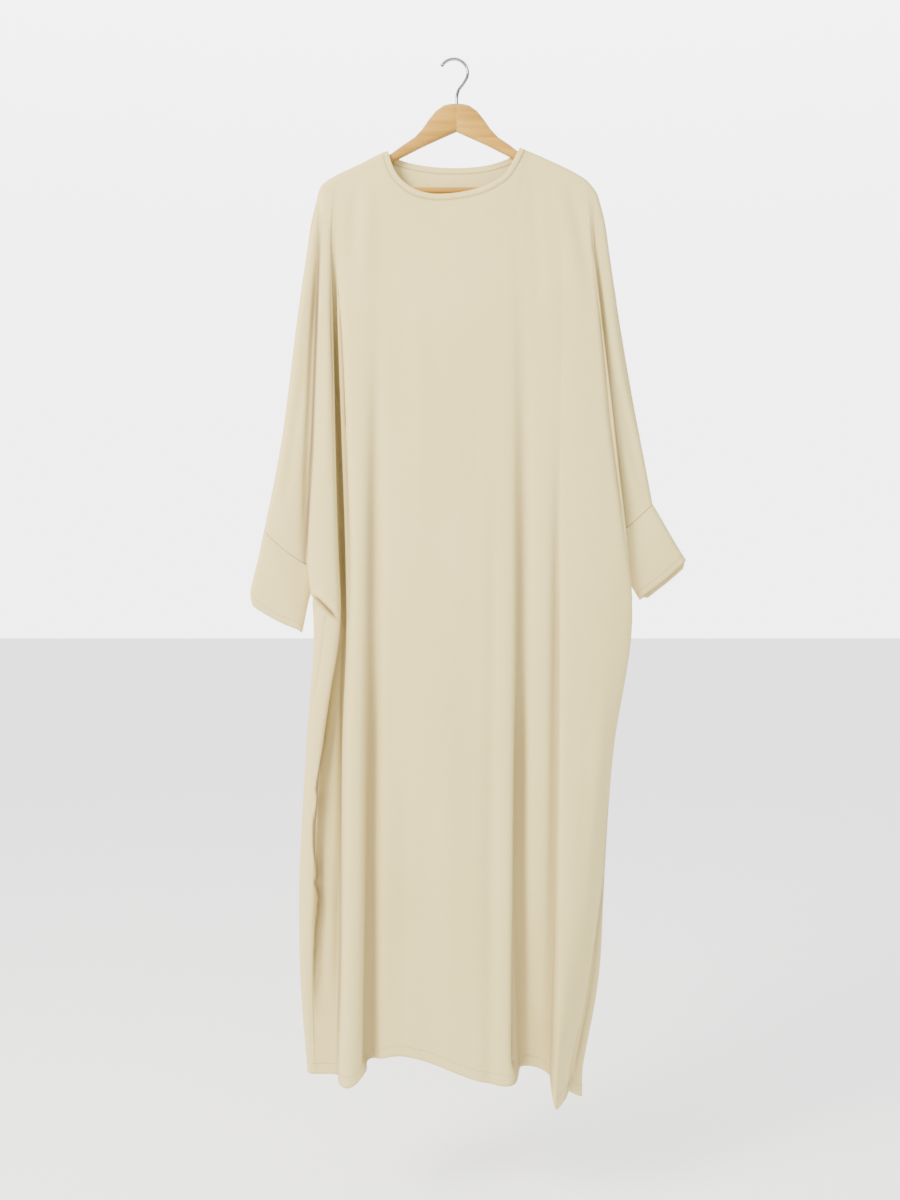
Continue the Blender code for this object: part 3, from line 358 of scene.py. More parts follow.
class Path(Line):
    """A smooth line through named points."""

    def __init__(self, points, between=8):
        points = np.asarray(points, float)
        steps = np.arange(len(points))
        at = np.linspace(0, len(points) - 1, (len(points) - 1) * between + 1)
        super().__init__(np.stack([smooth_through(steps, values, at) for values in points.T], axis=1))
        self.knots = self.distance[::between]

    def nearest(self, spots):
        """Distance in the x-z plane from each spot to the line."""
        start = self.points[:-1]
        step = self.points[1:] - start
        offset = spots[:, None, :] - start
        share = np.clip((offset * step).sum(2) / (step ** 2).sum(1), 0, 1)
        return np.linalg.norm(offset - share[..., None] * step, axis=2).min(1)


LEFT = Path(LEFT_SEAM)
RIGHT = Path(RIGHT_SEAM)
FRONT_NECK = Path(NECK_FRONT)
BACK_NECK = Path(NECK_BACK)


def line_x(name, z):
    values = LINES[name]
    return smooth_through(HEIGHTS[:len(values)], values, z)


def neck_point(path, share, out):
    """A point of the neck edge, moved out of the opening: along the shoulder seams at the corners."""
    distance = share * path.length
    here = path.at(distance)
    ahead = path.at(min(distance + 1.0, path.length))
    behind = path.at(max(distance - 1.0, 0.0))
    along = (ahead - behind) / np.linalg.norm(ahead - behind)
    way = np.array([along[1], -along[0]])
    for seam, corner in ((LEFT, distance), (RIGHT, path.length - distance)):
        near = max(0.0, 1 - corner / CORNER_REACH) ** 2
        shoulder = (seam.at(BAND_WIDTH) - seam.at(0.0)) / BAND_WIDTH
        way = way * (1 - near) + shoulder * near
    return here + out * way / np.linalg.norm(way)


class Edge(Line):
    """A panel's top edge: up the left shoulder seam from the turn, along the neck, and down."""

    def __init__(self, neck):
        band = BAND_WIDTH + BAND_GAP
        left = [LEFT.at(d) for d in np.linspace(LEFT.knots[TURN], band, SHOULDER_POINTS)]
        middle = [neck_point(neck, share, band) for share in np.linspace(0, 1, NECK_POINTS)]
        right = [RIGHT.at(d) for d in np.linspace(band, RIGHT.knots[TURN], SHOULDER_POINTS)]
        super().__init__(np.array(left + middle[1:-1] + right))
        self.corners = (LEFT.knots[TURN] - band, self.length - RIGHT.knots[TURN] + band)

    def neck(self, share):
        return self.corners[0] + (self.corners[1] - self.corners[0]) * share


class Column:
    """One fold line of a panel: its top, the end at the underarm, the hem, and x and y by height."""

    def __init__(self, edge, place, lines, share, shift, middle, hem, depths):
        self.place = place
        self.top = edge.at(place)
        self.lines = lines
        self.share = share
        self.shift = shift
        self.middle = middle
        self.hem = hem
        self.depths = depths

    def between(self, z, opened):
        """The place between the column's two lines, with its shift as far as the pleat has opened."""
        first, second = (line_x(name, z) for name in self.lines)
        return first + (second - first) * self.share + self.shift * opened

    def x(self, z):
        if z <= HEIGHTS[0]:
            return self.between(z, np.interp(-z, [-h for h in HEIGHTS], OPEN))
        at_yoke = self.between(HEIGHTS[0], OPEN[0])
        t = (self.top[1] - z) / (self.top[1] - HEIGHTS[0])
        return self.top[0] + (at_yoke - self.top[0]) * t * (1.5 - 0.5 * t)

    def y(self, z):
        heights = (self.top[1],) + HEIGHTS[:len(self.depths) - 1]
        return smooth_through(heights, self.depths, z)

    def point(self, z):
        return np.array([self.x(z), self.y(z), z])


def side_columns(rows, edge, seam):
    """The columns of a side table, with their tops on the seam beside them."""
    columns = []
    for name, top, first, second, share, shift, middle, hem, depths in rows:
        place = top if seam is LEFT else edge.length - top
        below = hem or middle - SLEEVE_PAST
        columns.append(Column(edge, place, (first, second), share, shift, middle, below, depths))
    return columns


def front_columns():
    columns = side_columns(FRONT_LEFT, FRONT_EDGE, LEFT)
    last = len(FRONT_MIDDLE) - 1
    for number, (share, hem) in enumerate(FRONT_MIDDLE):
        place = FRONT_EDGE.neck(number / last)
        trough, lip, crown = map(np.array, (MIDDLE_TROUGH_Y, MIDDLE_LIP_Y, MIDDLE_CROWN))
        across = share * share * (3 - 2 * share)
        depths = trough + (lip - trough) * across - crown * 4 * share * (1 - share)
        lines = ("trough_left", "lip_middle")
        columns.append(Column(FRONT_EDGE, place, lines, share, 0, UNDERARM, hem, depths))
    return columns + side_columns(FRONT_RIGHT, FRONT_EDGE, RIGHT)


def back_columns():
    columns = side_columns(BACK_LEFT, BACK_EDGE, LEFT)
    for kind, place, share, fold, hem in BACK_MIDDLE:
        if kind == "neck":
            place = BACK_EDGE.neck(place)
        elif kind == "right":
            place = BACK_EDGE.length - place
        depths = np.array(BACK_BASE_Y) + fold * np.array(BACK_FOLD_DEPTH)
        lines = ("back_left", "back_right")
        columns.append(Column(BACK_EDGE, place, lines, share, 0, UNDERARM, hem, depths))
    return columns + side_columns(BACK_RIGHT, BACK_EDGE, RIGHT)


FRONT_EDGE = Edge(FRONT_NECK)
BACK_EDGE = Edge(BACK_NECK)
FRONT = front_columns()
BACK = back_columns()

# Columns between which a panel goes on below the underarm, and columns where the cuffs' seams end
FRONT_BODY = (8, len(FRONT) - 9)
BACK_BODY = (7, len(BACK) - 8)
FRONT_CUFFS = (5, len(FRONT) - 6)
BACK_CUFFS = (4, len(BACK) - 5)


def weights(places, count):
    """Cubic B-spline weights of the columns around each place across a panel, with straight ends."""
    share = np.zeros((len(places), count))
    for row, u in enumerate(places):
        base = int(min(math.floor(u), count - 2))
        t = u - base
        parts = ((1 - t) ** 3 / 6, (3 * t ** 3 - 6 * t * t + 4) / 6,
                 (-3 * t ** 3 + 3 * t * t + 3 * t + 1) / 6, t ** 3 / 6)
        for offset, part in zip((-1, 0, 1, 2), parts):
            index = base + offset
            if index < 0:
                share[row, 0] += 2 * part
                share[row, 1] -= part
            elif index > count - 1:
                share[row, count - 1] += 2 * part
                share[row, count - 2] -= part
            else:
                share[row, index] += part
    return share


def column_height(column, v):
    """Height at row place v: 0 at the top, 1 at the underarm, 2 at the hem."""
    if v <= 1:
        return column.top[1] + (column.middle - column.top[1]) * v
    return column.middle + (column.hem - column.middle) * (v - 1)


def rounded(distance):
    """How far a sheet has turned down from a seam: 0 on it, 1 where it hangs free."""
    t = np.minimum(distance / FOLD_OVER, 1.0)
    return np.sqrt(1 - (1 - t) ** 2)


def smooth_step(t):
    t = np.clip(t, 0, 1)
    return t * t * (3 - 2 * t)


def from_seam(seam, outermost, row, steps, v):
    """Distance of each point from a seam: none at the panel's own edge, so the seam stays closed."""
    x, y, z = outermost.point(column_height(outermost, v))
    edge_off = seam.nearest(np.array([[x, z]]))[0]
    share = np.clip(1 - steps / EDGE_COLUMNS, 0, 1)
    return np.maximum(seam.nearest(row[:, [0, 2]]) - edge_off * share, 0)


def panel_row(columns, edge, places, v, side, closings):
    """One row of points across a panel, at the given places, in millimetres."""
    share = weights(places, len(columns))
    row = share @ np.array([column.point(column_height(column, v)) for column in columns])
    if v < TOP_SHARE:
        tops = share @ np.array([column.top for column in columns])
        along = np.interp(places, range(len(columns)), [column.place for column in columns])
        row[:, [0, 2]] += (edge.at(along).T - tops) * (1 - v / TOP_SHARE) ** 2
    if v <= 1:
        away = np.minimum(from_seam(LEFT, columns[0], row, places, v),
                          from_seam(RIGHT, columns[-1], row, len(columns) - 1 - places, v))
        row[:, 1] = side * SEAM + (row[:, 1] - side * SEAM) * rounded(away)
        for closing, top, end in closings:
            near = np.maximum(0, 1 - np.abs(places - closing) / CLOSING_COLUMNS)
            near = near * np.clip((top - row[:, 2]) / (top - end), 0, 1)
            row[:, 1] += (side * CLOSING - row[:, 1]) * near * near * (3 - 2 * near)
    return row


# Where each sleeve closes beside its underarm: column, and the heights where that starts and is done
LEFT_CLOSING = (-740, -800)
RIGHT_CLOSING = (-700, -757)
FRONT_CLOSINGS = ((FRONT_CUFFS[0], *LEFT_CLOSING), (FRONT_CUFFS[1], *RIGHT_CLOSING))
BACK_CLOSINGS = ((BACK_CUFFS[0], *LEFT_CLOSING), (BACK_CUFFS[1], *RIGHT_CLOSING))


def front_row(places, v):
    return panel_row(FRONT, FRONT_EDGE, np.asarray(places, float), v, -1, FRONT_CLOSINGS)


def back_row(places, v):
    """A row of the back panel, with its underarm and side seams led along the front panel's."""
    places = np.asarray(places, float)
    row = panel_row(BACK, BACK_EDGE, places, v, 1, BACK_CLOSINGS)
    pairs = ((BACK_CUFFS[0], BACK_BODY[0], FRONT_BODY[0], 1),
             (BACK_CUFFS[1], BACK_BODY[1], FRONT_BODY[1], -1))
    for cuff, body, front_body, way in pairs:
        inside = np.maximum((places - body) * way, 0)
        outside = np.maximum((cuff - places) * way, 0)
        reach = np.clip(1 - inside / LEAD_COLUMNS, 0, 1) * np.clip(1 - outside, 0, 1)
        if v < 1:
            reach = reach * max(0.0, 1 - (1 - v) / LEAD_ABOVE)
        if not reach.any():
            continue
        along = np.clip(places, min(cuff, body), max(cuff, body))
        led = np.array([way * LEAD_X, LEAD_Y, 0])
        target = front_row(front_body + (along - body), max(v, 1)) + led
        drawn = panel_row(BACK, BACK_EDGE, along, max(v, 1), 1, BACK_CLOSINGS)
        row += (target - drawn) * smooth_step(reach)[:, None]
    return row


# Share of a line's length over which a crease fades in: where it runs on at its lower end, and where
# it fades at both
FADE_DOWN = 0.35
FADE_BOTH = 0.3

# Painted shade beside the neck band: its share of the painted shade colour, half width, and distance
# from the band
NECK_SHADE = 0.5
NECK_SHADE_WIDTH = 1.3
NECK_SHADE_OUT = 0.6

# How slowly a line of painted shade fades at its ends, and the half width of its sharp side
PAINTED_SHADE_FADE = 0.4
PAINTED_SHADE_SHARP = 1.2

# Where the cloth's ripples start, how far down they take to be full, and how far in from the sides
RIPPLE_TOP = -235
RIPPLE_FULL = 250
RIPPLE_SIDE = 40


def line_reach(path, x, z, one_way):
    """Distance of each point from a line, whether it lies right of it, and its fade at the ends."""
    spots = np.stack([x, z], axis=-1)
    path = np.asarray(path, float)
    start = path[:-1]
    step = path[1:] - start
    lengths = np.linalg.norm(step, axis=1)
    before = np.concatenate([[0], np.cumsum(lengths)])
    best = np.full(x.shape, np.inf)
    along = np.zeros_like(x)
    right = np.zeros_like(x)
    for k in range(len(step)):
        offset = spots - start[k]
        t = np.clip((offset @ step[k]) / lengths[k] ** 2, 0, 1)
        away = np.linalg.norm(offset - t[..., None] * step[k], axis=-1)
        nearer = away < best
        best = np.where(nearer, away, best)
        along = np.where(nearer, (before[k] + t * lengths[k]) / before[-1], along)
        turn = step[k, 0] * offset[..., 1] - step[k, 1] * offset[..., 0]
        right = np.where(nearer, np.sign(turn), right)
    if one_way:
        return best, right, smooth_step(along / FADE_DOWN)
    return best, right, smooth_step(along / FADE_BOTH) * smooth_step((1 - along) / FADE_BOTH)


def as_seen(points):
    """Where each point shows in the hook's plane, from the place the creases were measured from."""
    scale = VIEW_DISTANCE / (VIEW_DISTANCE + points[:, 1])
    return VIEW_X + (points[:, 0] - VIEW_X) * scale, VIEW_Z + (points[:, 2] - VIEW_Z) * scale


def neck_painted_shade(points, side):
    """Painted shade along the panel where the neck band's outer edge lies on it."""
    path = FRONT_NECK if side < 0 else BACK_NECK
    out = BAND_WIDTH + NECK_SHADE_OUT
    line = [neck_point(path, share, out) for share in np.linspace(0.03, 0.97, 40)]
    away = line_reach(line, points[:, 0], points[:, 2], True)[0]
    return NECK_SHADE * np.exp(-(away / NECK_SHADE_WIDTH) ** 2)


def crease_depth(creases, x, z):
    """How far the named creases push each point out of the sheet, in millimetres."""
    depth = np.zeros_like(x)
    for name, path, width, height in creases:
        away, right, fade = line_reach(path, x, z, name.endswith("_down"))
        depth += height * fade * np.exp(-(away / width) ** 2)
    return depth


def fold_painted_shade(painted_shades, x, z):
    """Share of painted shade at each point: the cloth is darkened along the named lines where folds
    close.
    """
    light = np.ones_like(x)
    for name, path, width, share, way in painted_shades:
        away, right, fade = line_reach(path, x, z, name.endswith("_down"))
        if not name.endswith("_down"):
            fade = fade ** PAINTED_SHADE_FADE
        tone_and_painted_shade = np.exp(-(away / width) ** 2) if way == 0 else np.exp(-away / width)
        if way != 0:
            tone_and_painted_shade = np.where(right == way, tone_and_painted_shade, np.exp(-(away / PAINTED_SHADE_SHARP) ** 2))
        light *= 1 - share * fade * tone_and_painted_shade
    return 1 - light


def drape(s, z, phase):
    """The cloth's slight unevenness: long soft ripples that grow downwards."""
    down = np.clip((-250 - z) / 900, 0.15, 1.2)
    soft = (np.sin(s / 31 + z / 420 + phase) * np.sin(z / 173 + s / 97 + 2 * phase)
            + 0.7 * np.sin(s / 17.3 - z / 260 + 1.7 * phase) * np.sin(z / 91 + phase)
            + 0.5 * np.sin(s / 53 + z / 61) * np.sin(s / 23 - z / 137 + phase))
    return soft * down


def fine(places, steps):
    """The whole places with the given number of even steps between each two."""
    last = places[-1]
    return np.array([k + step / steps for k in range(int(last)) for step in range(steps)] + [last])


# Row places from the top to the underarm and on to the hem, close where a sheet turns
FINE_ROWS = (0.0, 0.002, 0.004, 0.0058, 0.0064, 0.007, 0.0076, 0.010, 0.014, 0.019, 0.026, 0.035,
             0.046, 0.06, 0.08)
TO_UNDERARM = np.concatenate([FINE_ROWS, np.linspace(0.1, 0.955, 42), np.linspace(0.9585, 1.0, 13)])
TO_HEM = 1 + np.concatenate([np.linspace(0.003, 0.045, 15), np.linspace(0.056, 0.97, 56),
                             (0.976, 0.982, 0.988, 0.994, 1.0)])


def placed(name, data):
    """A new object in the scene."""
    thing = bpy.data.objects.new(name, data)
    bpy.context.scene.collection.objects.link(thing)
    return thing


def new_mesh(name, points, faces, corners=None, edges=()):
    """A mesh object from points in millimetres, faces, and cloth coordinates for each face corner."""
    data = bpy.data.meshes.new(name)
    data.from_pydata([tuple(point) for point in np.asarray(points) * MM], edges, faces)
    if corners is not None:
        layer = data.uv_layers.new(name="cloth")
        layer.data.foreach_set("uv", (np.asarray(corners) * MM).ravel())
    data.update()
    return placed(name, data)


def finished(thing):
    """The object with its modifiers applied as a plain mesh, riding on the garment's one body."""
    graph = bpy.context.evaluated_depsgraph_get()
    data = bpy.data.meshes.new_from_object(thing.evaluated_get(graph))
    raw = thing.data
    thing.modifiers.clear()
    thing.data = data
    data.name = thing.name
    bpy.data.meshes.remove(raw)
    thing.data.shade_smooth()
    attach(thing, "root")
    return thing


def dressed(thing, material):
    thing.data.materials.clear()
    thing.data.materials.append(material)


def normals_of(thing):
    normals = np.zeros(len(thing.data.vertices) * 3, np.float32)
    thing.data.vertices.foreach_get("normal", normals)
    return normals.reshape(-1, 3)


def push_out(thing, points, normals, depth):
    """Moves a sheet's points out along their normals, by the given millimetres."""
    moved = points + normals * depth[:, None]
    thing.data.vertices.foreach_set("co", (moved * MM).ravel())


def walled(thing, wall, material, node):
    """Notes a sheet's area, gives it its wall and its look, and puts it in its solid's place."""
    thing["cut_area"] = sum(face.area for face in thing.data.polygons)
    shell = thing.modifiers.new("wall", "SOLIDIFY")
    shell.thickness = wall * MM
    shell.offset = 0.0
    shell.use_quality_normals = True
    thing = finished(thing)
    dressed(thing, material)
    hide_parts(node)


def make_panel(name, row_of, columns, body, side, creases, painted_shades, phase, look):
    """A panel's sheet with its creases and its ripples, and the painted shade of its closed folds in
    its fold attribute.
    """
    places = fine(range(len(columns)), look.columns_between)
    upper = [row_of(places, v) for v in TO_UNDERARM]
    body_places = places[(places >= body[0]) & (places <= body[1])]
    start = int(np.argmin(np.abs(places - body[0])))
    lower = [row_of(body_places, v) for v in TO_HEM]
    wide, narrow = len(places), len(body_places)
    points = np.concatenate([np.concatenate(upper), np.concatenate(lower)])
    middle = upper[-8]
    across = np.concatenate([[0], np.cumsum(np.linalg.norm(np.diff(middle, axis=0), axis=1))])
    across_body = across[start:start + narrow]
    along = np.concatenate([np.tile(across, len(upper)), np.tile(across_body, len(lower))])
    rows = [list(range(k * wide, (k + 1) * wide)) for k in range(len(upper))]
    first = len(upper) * wide
    below = [rows[-1][start:start + narrow]]
    below += [list(range(first + k * narrow, first + (k + 1) * narrow)) for k in range(len(lower))]
    faces = []
    for grid in (rows, below):
        for one, two in zip(grid[:-1], grid[1:]):
            for k in range(len(one) - 1):
                face = (one[k], two[k], two[k + 1], one[k + 1])
                faces.append(face if side < 0 else face[::-1])
    cloth = np.stack([along, points[:, 2]], axis=1)
    order = np.array(faces).ravel()
    thing = new_mesh(name, points, faces, cloth[order])
    # The fold attribute holds painted shade: how far the cloth's colour is darkened in closed folds and
    # beside the neck band
    fold = thing.data.attributes.new("fold", "FLOAT", "POINT")
    seen_x, seen_z = as_seen(points)
    tone_and_painted_shade = fold_painted_shade(painted_shades, seen_x, seen_z)
    fold.data.foreach_set("value", np.maximum(tone_and_painted_shade, neck_painted_shade(points, side)))
    normals = normals_of(thing)
    depth = crease_depth(creases, seen_x, seen_z) * look.crease_share
    depth *= smooth_step(side * normals[:, 1] * 1.5 - 0.1)
    free = smooth_step((RIPPLE_TOP - points[:, 2]) / RIPPLE_FULL)
    inside = np.minimum(np.abs(along - across_body[0]), np.abs(across_body[-1] - along))
    depth += drape(along, points[:, 2], phase) * look.ripple * free * smooth_step(inside / RIPPLE_SIDE)
    push_out(thing, points, normals, depth)
    thing.data.update()
    return thing


def ring_faces(rings, count, flip):
    """Faces and corner coordinates between closed rings of count points each."""
    faces = []
    corners = []
    for row in range(rings - 1):
        for k in range(count):
            after = (k + 1) % count
            face = [(row * count + k, k, row), ((row + 1) * count + k, k, row + 1),
                    ((row + 1) * count + after, k + 1, row + 1), (row * count + after, k + 1, row)]
            if flip:
                face = face[::-1]
            faces.append(tuple(corner[0] for corner in face))
            corners += [corner[1:] for corner in face]
    return faces, corners


# Points on each half of a sleeve's end, and how far along a cuff each of its rings lies
CUFF_POINTS = 26
CUFF_STEPS = np.concatenate([[0.006, 0.014, 0.03], np.linspace(0.06, 1.0, 26)])


def cuff_loop(side):
    """The sleeve's end, all round, with the cuff's length at each point in the last column."""
    loop = []
    for columns, cuffs, row_of in ((FRONT, FRONT_CUFFS, front_row), (BACK, BACK_CUFFS, back_row)):
        if side == "left":
            places = np.linspace(0, cuffs[0] - CUFF_INSET, CUFF_POINTS)
        else:
            places = np.linspace(len(columns) - 1, cuffs[1] + CUFF_INSET, CUFF_POINTS)
        half = row_of(places, 1)
        half[-1, 0] += -CUFF_CLEAR if side == "left" else CUFF_CLEAR
        across = half[-1] - half[0]
        ends = CUFF_ENDS[side + ("_front" if columns is FRONT else "_back")]
        length = np.interp((half - half[0]) @ across / (across @ across), *zip(*ends))
        half = np.column_stack([half, length])
        loop.append(half if columns is FRONT else half[::-1])
    return np.concatenate(loop)


def cuff_ring(side, step):
    """The cuff's points at a share of the way from its seam to its open edge."""
    way = np.array(LEFT_CUFF if side == "left" else RIGHT_CUFF, float)
    ring = cuff_loop(side)
    bulge = 1 + CUFF_BULGE * math.sin(math.pi * step)
    depth = np.maximum(np.abs(ring[:, 1]) * bulge, CLOSING + CUFF_ROUND * min(step * 8, 1))
    ring[:, 1] = np.copysign(depth, ring[:, 1])
    return ring[:, :3] + way * step * ring[:, 3:]


def neck_ring(out, fine_steps=130):
    """The neck edge all round, moved out of the opening by the given distance."""
    points = []
    for path, side, full in ((FRONT_NECK, -1, NECK_FRONT_Y), (BACK_NECK, 1, NECK_BACK_Y)):
        shares = np.linspace(0, 1, fine_steps)
        for share in shares if side < 0 else shares[::-1]:
            x, z = neck_point(path, share, out)
            spot = np.array([[x, z]])
            turned = float(rounded(min(LEFT.nearest(spot)[0], RIGHT.nearest(spot)[0])))
            points.append((x, side * SEAM + (full - side * SEAM) * turned, z))
    return np.array(points)


class Nodes:
    """A node tree, with a short call that adds a node, sets it up and fills its inputs."""

    prefix = ""

    def __init__(self, group):
        self.group = group
        self.nodes = group.nodes
        self.links = group.links

    def put(self, socket, value):
        """Fills a socket with a value or with another node's output."""
        if isinstance(value, bpy.types.NodeSocket):
            self.links.new(value, socket)
        else:
            socket.default_value = value

    def node(self, kind, inputs=(), **settings):
        node = self.nodes.new(self.prefix + kind)
        for name, value in settings.items():
            setattr(node, name, value)
        for name, value in dict(inputs).items():
            self.put(node.inputs[name], value)
        return node


class Shader(Nodes):
    """A material's node tree, with a call for each kind of node that the finishes need."""

    prefix = "ShaderNode"

    def __init__(self, name):
        self.material = bpy.data.materials.new(name)
        self.material.use_nodes = True
        super().__init__(self.material.node_tree)
        self.surface = self.nodes["Principled BSDF"]
        self.place = self.node("TexCoord")

    def finish(self, **inputs):
        """Fills the surface's inputs, and gives the material."""
        for name, value in inputs.items():
            self.put(self.surface.inputs[name.replace("_", " ")], value)
        return self.material

    def mapped(self, source, scale=(1, 1, 1), turn=(0, 0, 0)):
        inputs = {"Vector": self.place.outputs[source], "Scale": scale, "Rotation": turn}
        return self.node("Mapping", inputs).outputs["Vector"]

    def noise(self, vector, scale, detail=2.0, roughness=0.5, distortion=0.0):
        return self.node("TexNoise", {"Vector": vector, "Scale": scale, "Detail": detail,
                                      "Roughness": roughness, "Distortion": distortion}).outputs["Fac"]

    def bands(self, vector, scale, direction, distortion=0.0):
        return self.node("TexWave", {"Vector": vector, "Scale": scale, "Distortion": distortion,
                                     "Detail": 1.0, "Detail Scale": 2.0},
                         wave_type="BANDS", bands_direction=direction).outputs["Fac"]

    def math(self, operation, first, second):
        return self.node("Math", {0: first, 1: second}, operation=operation).outputs["Value"]

    def ranged(self, value, low, high, to_low=0.0, to_high=1.0):
        return self.node("MapRange", {"Value": value, "From Min": low, "From Max": high,
                                      "To Min": to_low, "To Max": to_high}).outputs["Result"]

    def blend(self, factor, first, second):
        """Mixes two colours."""
        return self.node("Mix", {0: factor, 6: first, 7: second}, data_type="RGBA").outputs[2]

    def bump(self, height, strength, distance, normal=None):
        inputs = {"Height": height, "Strength": strength, "Distance": distance}
        if normal is not None:
            inputs["Normal"] = normal
        return self.node("Bump", inputs).outputs["Normal"]


def deeper(colour, share):
    """A colour taken down to a share of its strength."""
    return tuple(c * share for c in colour[:3]) + (1,)


# Wave scale at which each band is one metre wide, and how much the yarns waver
BAND_SCALE = 0.314
WAVER = 0.6


def crepe(name, light, dark, pore_and_painted_fold_shade, thread_mm):
    """Matte crepe: crossing threads, a pebbled face, slow changes of tone, and shade painted into
    closed folds.
    """
    shader = Shader(name)
    cloth = shader.mapped("UV")
    solid = shader.mapped("Object")
    tone_and_painted_shade = shader.noise(solid, 3.2, 3.0)
    slub = shader.noise(shader.mapped("UV", (16, 420, 1)), 1.0, 2.0)
    fibre = shader.noise(solid, 620, 2.0)
    slow = shader.ranged(tone_and_painted_shade, 0.3, 0.7, 0.0, 0.55)
    factor = shader.math("ADD", slow, shader.ranged(slub, 0.3, 0.7, 0.0, 0.25))
    factor = shader.math("ADD", factor, shader.ranged(fibre, 0.3, 0.7, 0.0, 0.2))
    colour = shader.blend(factor, light, dark)
    # Painted shade: the fold attribute takes the colour down to the painted shade colour where folds
    # close
    fold = shader.node("Attribute", attribute_name="fold").outputs["Fac"]
    colour = shader.blend(fold, colour, pore_and_painted_fold_shade)
    scale = BAND_SCALE / (thread_mm * MM)
    warp = shader.bands(cloth, scale, "X", WAVER)
    weft = shader.bands(cloth, scale * 0.9, "Y", WAVER)
    weave = shader.math("ADD", warp, weft)
    pebble = shader.noise(solid, 1500, 3.0, 0.65)
    face = shader.math("ADD", shader.math("MULTIPLY", weave, 0.35), pebble)
    soft = shader.noise(shader.mapped("Object", (1, 1, 0.45)), 38, 3.0, 0.45)
    normal = shader.bump(soft, 0.28, 0.0016)
    normal = shader.bump(face, 0.35, 0.00012, normal)
    rough = shader.ranged(fibre, 0.2, 0.8, 0.82, 0.94)
    return shader.finish(Base_Color=colour, Normal=normal, Roughness=rough, Sheen_Weight=0.16,
                         Sheen_Roughness=0.45, Sheen_Tint=(1.0, 0.92, 0.7, 1.0),
                         Specular_IOR_Level=0.15)


def thread(name, colour):
    """Sewing thread: a fine twist along each stitch."""
    shader = Shader(name)
    twist = shader.bands(shader.mapped("Object", (1, 1, 1), (0.5, 0.6, 0.7)), 900, "X", 0.4)
    tint = shader.blend(shader.ranged(twist, 0.0, 1.0, 0.0, 1.0), colour, deeper(colour, 0.78))
    return shader.finish(Base_Color=tint, Normal=shader.bump(twist, 0.4, 0.00008), Roughness=0.6,
                         Sheen_Weight=0.2, Specular_IOR_Level=0.3)


def grained_wood(name, light, dark, turn, shine):
    """Lacquered wood with long grain, pores and slow rings along the piece."""
    shader = Shader(name)
    along = shader.mapped("Object", (3.0, 62, 62), turn)
    rings = shader.noise(along, 1.0, 4.0, 0.55, 0.6)
    fine_grain = shader.noise(shader.mapped("Object", (9, 420, 420), turn), 1.0, 3.0, 0.6)
    pores = shader.noise(shader.mapped("Object", (60, 1500, 1500), turn), 1.0, 2.0)
    patch = shader.noise(shader.mapped("Object", (6, 14, 14), turn), 1.0, 2.0)
    ringed = shader.ranged(rings, 0.36, 0.64, 0.0, 0.8)
    factor = shader.math("ADD", ringed, shader.ranged(fine_grain, 0.3, 0.7, 0.0, 0.3))
    factor = shader.math("ADD", factor, shader.ranged(patch, 0.3, 0.7, -0.12, 0.12))
    colour = shader.blend(factor, light, dark)
    pore_and_painted_fold_shade = shader.ranged(pores, 0.63, 0.72, 0.0, 0.35)
    colour = shader.blend(pore_and_painted_fold_shade, colour, deeper(dark, 0.55))
    height = shader.math("SUBTRACT", fine_grain, shader.math("MULTIPLY", pore_and_painted_fold_shade, 0.6))
    return shader.finish(Base_Color=colour, Normal=shader.bump(height, 0.22, 0.0003),
                         Roughness=shader.ranged(fine_grain, 0.2, 0.8, 0.34, 0.48),
                         Coat_Weight=shine, Coat_Roughness=0.3, Specular_IOR_Level=0.25)


def chrome_wire(name, colour):
    """Polished plating with faint drawing marks and a little dulling where it rubs on a rail."""
    shader = Shader(name)
    marks = shader.noise(shader.mapped("Object", (140, 900, 140)), 1.0, 3.0, 0.6)
    smear = shader.noise(shader.mapped("Object"), 70, 3.0)
    worn = shader.ranged(smear, 0.45, 0.75, 0.0, 0.12)
    rough = shader.math("ADD", shader.ranged(marks, 0.2, 0.8, 0.07, 0.15), worn)
    tint = shader.blend(shader.ranged(smear, 0.3, 0.8, 0.0, 0.5), colour, (0.52, 0.52, 0.54, 1))
    return shader.finish(Base_Color=tint, Roughness=rough, Metallic=1.0,
                         Normal=shader.bump(marks, 0.08, 0.00005))


def matte_stage(name, colour):
    """A pale floor with a faint change of tone."""
    shader = Shader(name)
    grit = shader.noise(shader.mapped("Object"), 6.0, 2.0)
    tint = shader.blend(shader.ranged(grit, 0.3, 0.7, 0.0, 0.3), colour, deeper(colour, 0.985))
    return shader.finish(Base_Color=tint, Roughness=0.95, Specular_IOR_Level=0.1)


class Tree(Nodes):
    """A geometry tree with named inputs, built node by node."""

    def __init__(self, name, sizes):
        super().__init__(bpy.data.node_groups.new(name, "GeometryNodeTree"))
        face = self.group.interface
        face.new_socket(name="Geometry", in_out="INPUT", socket_type="NodeSocketGeometry")
        for title, kind, default in sizes:
            socket = face.new_socket(name=title, in_out="INPUT", socket_type="NodeSocket" + kind)
            if default is not None:
                socket.default_value = default
        face.new_socket(name="Geometry", in_out="OUTPUT", socket_type="NodeSocketGeometry")
        self.input = self.node("NodeGroupInput")
        self.output = self.node("NodeGroupOutput")

    def fill(self, modifier, **values):
        """Sets the modifier's inputs by each socket's identifier."""
        for item in self.group.interface.items_tree:
            key = item.name.replace(" ", "_")
            if item.item_type == "SOCKET" and item.in_out == "INPUT" and key in values:
                modifier[item.identifier] = values[key]


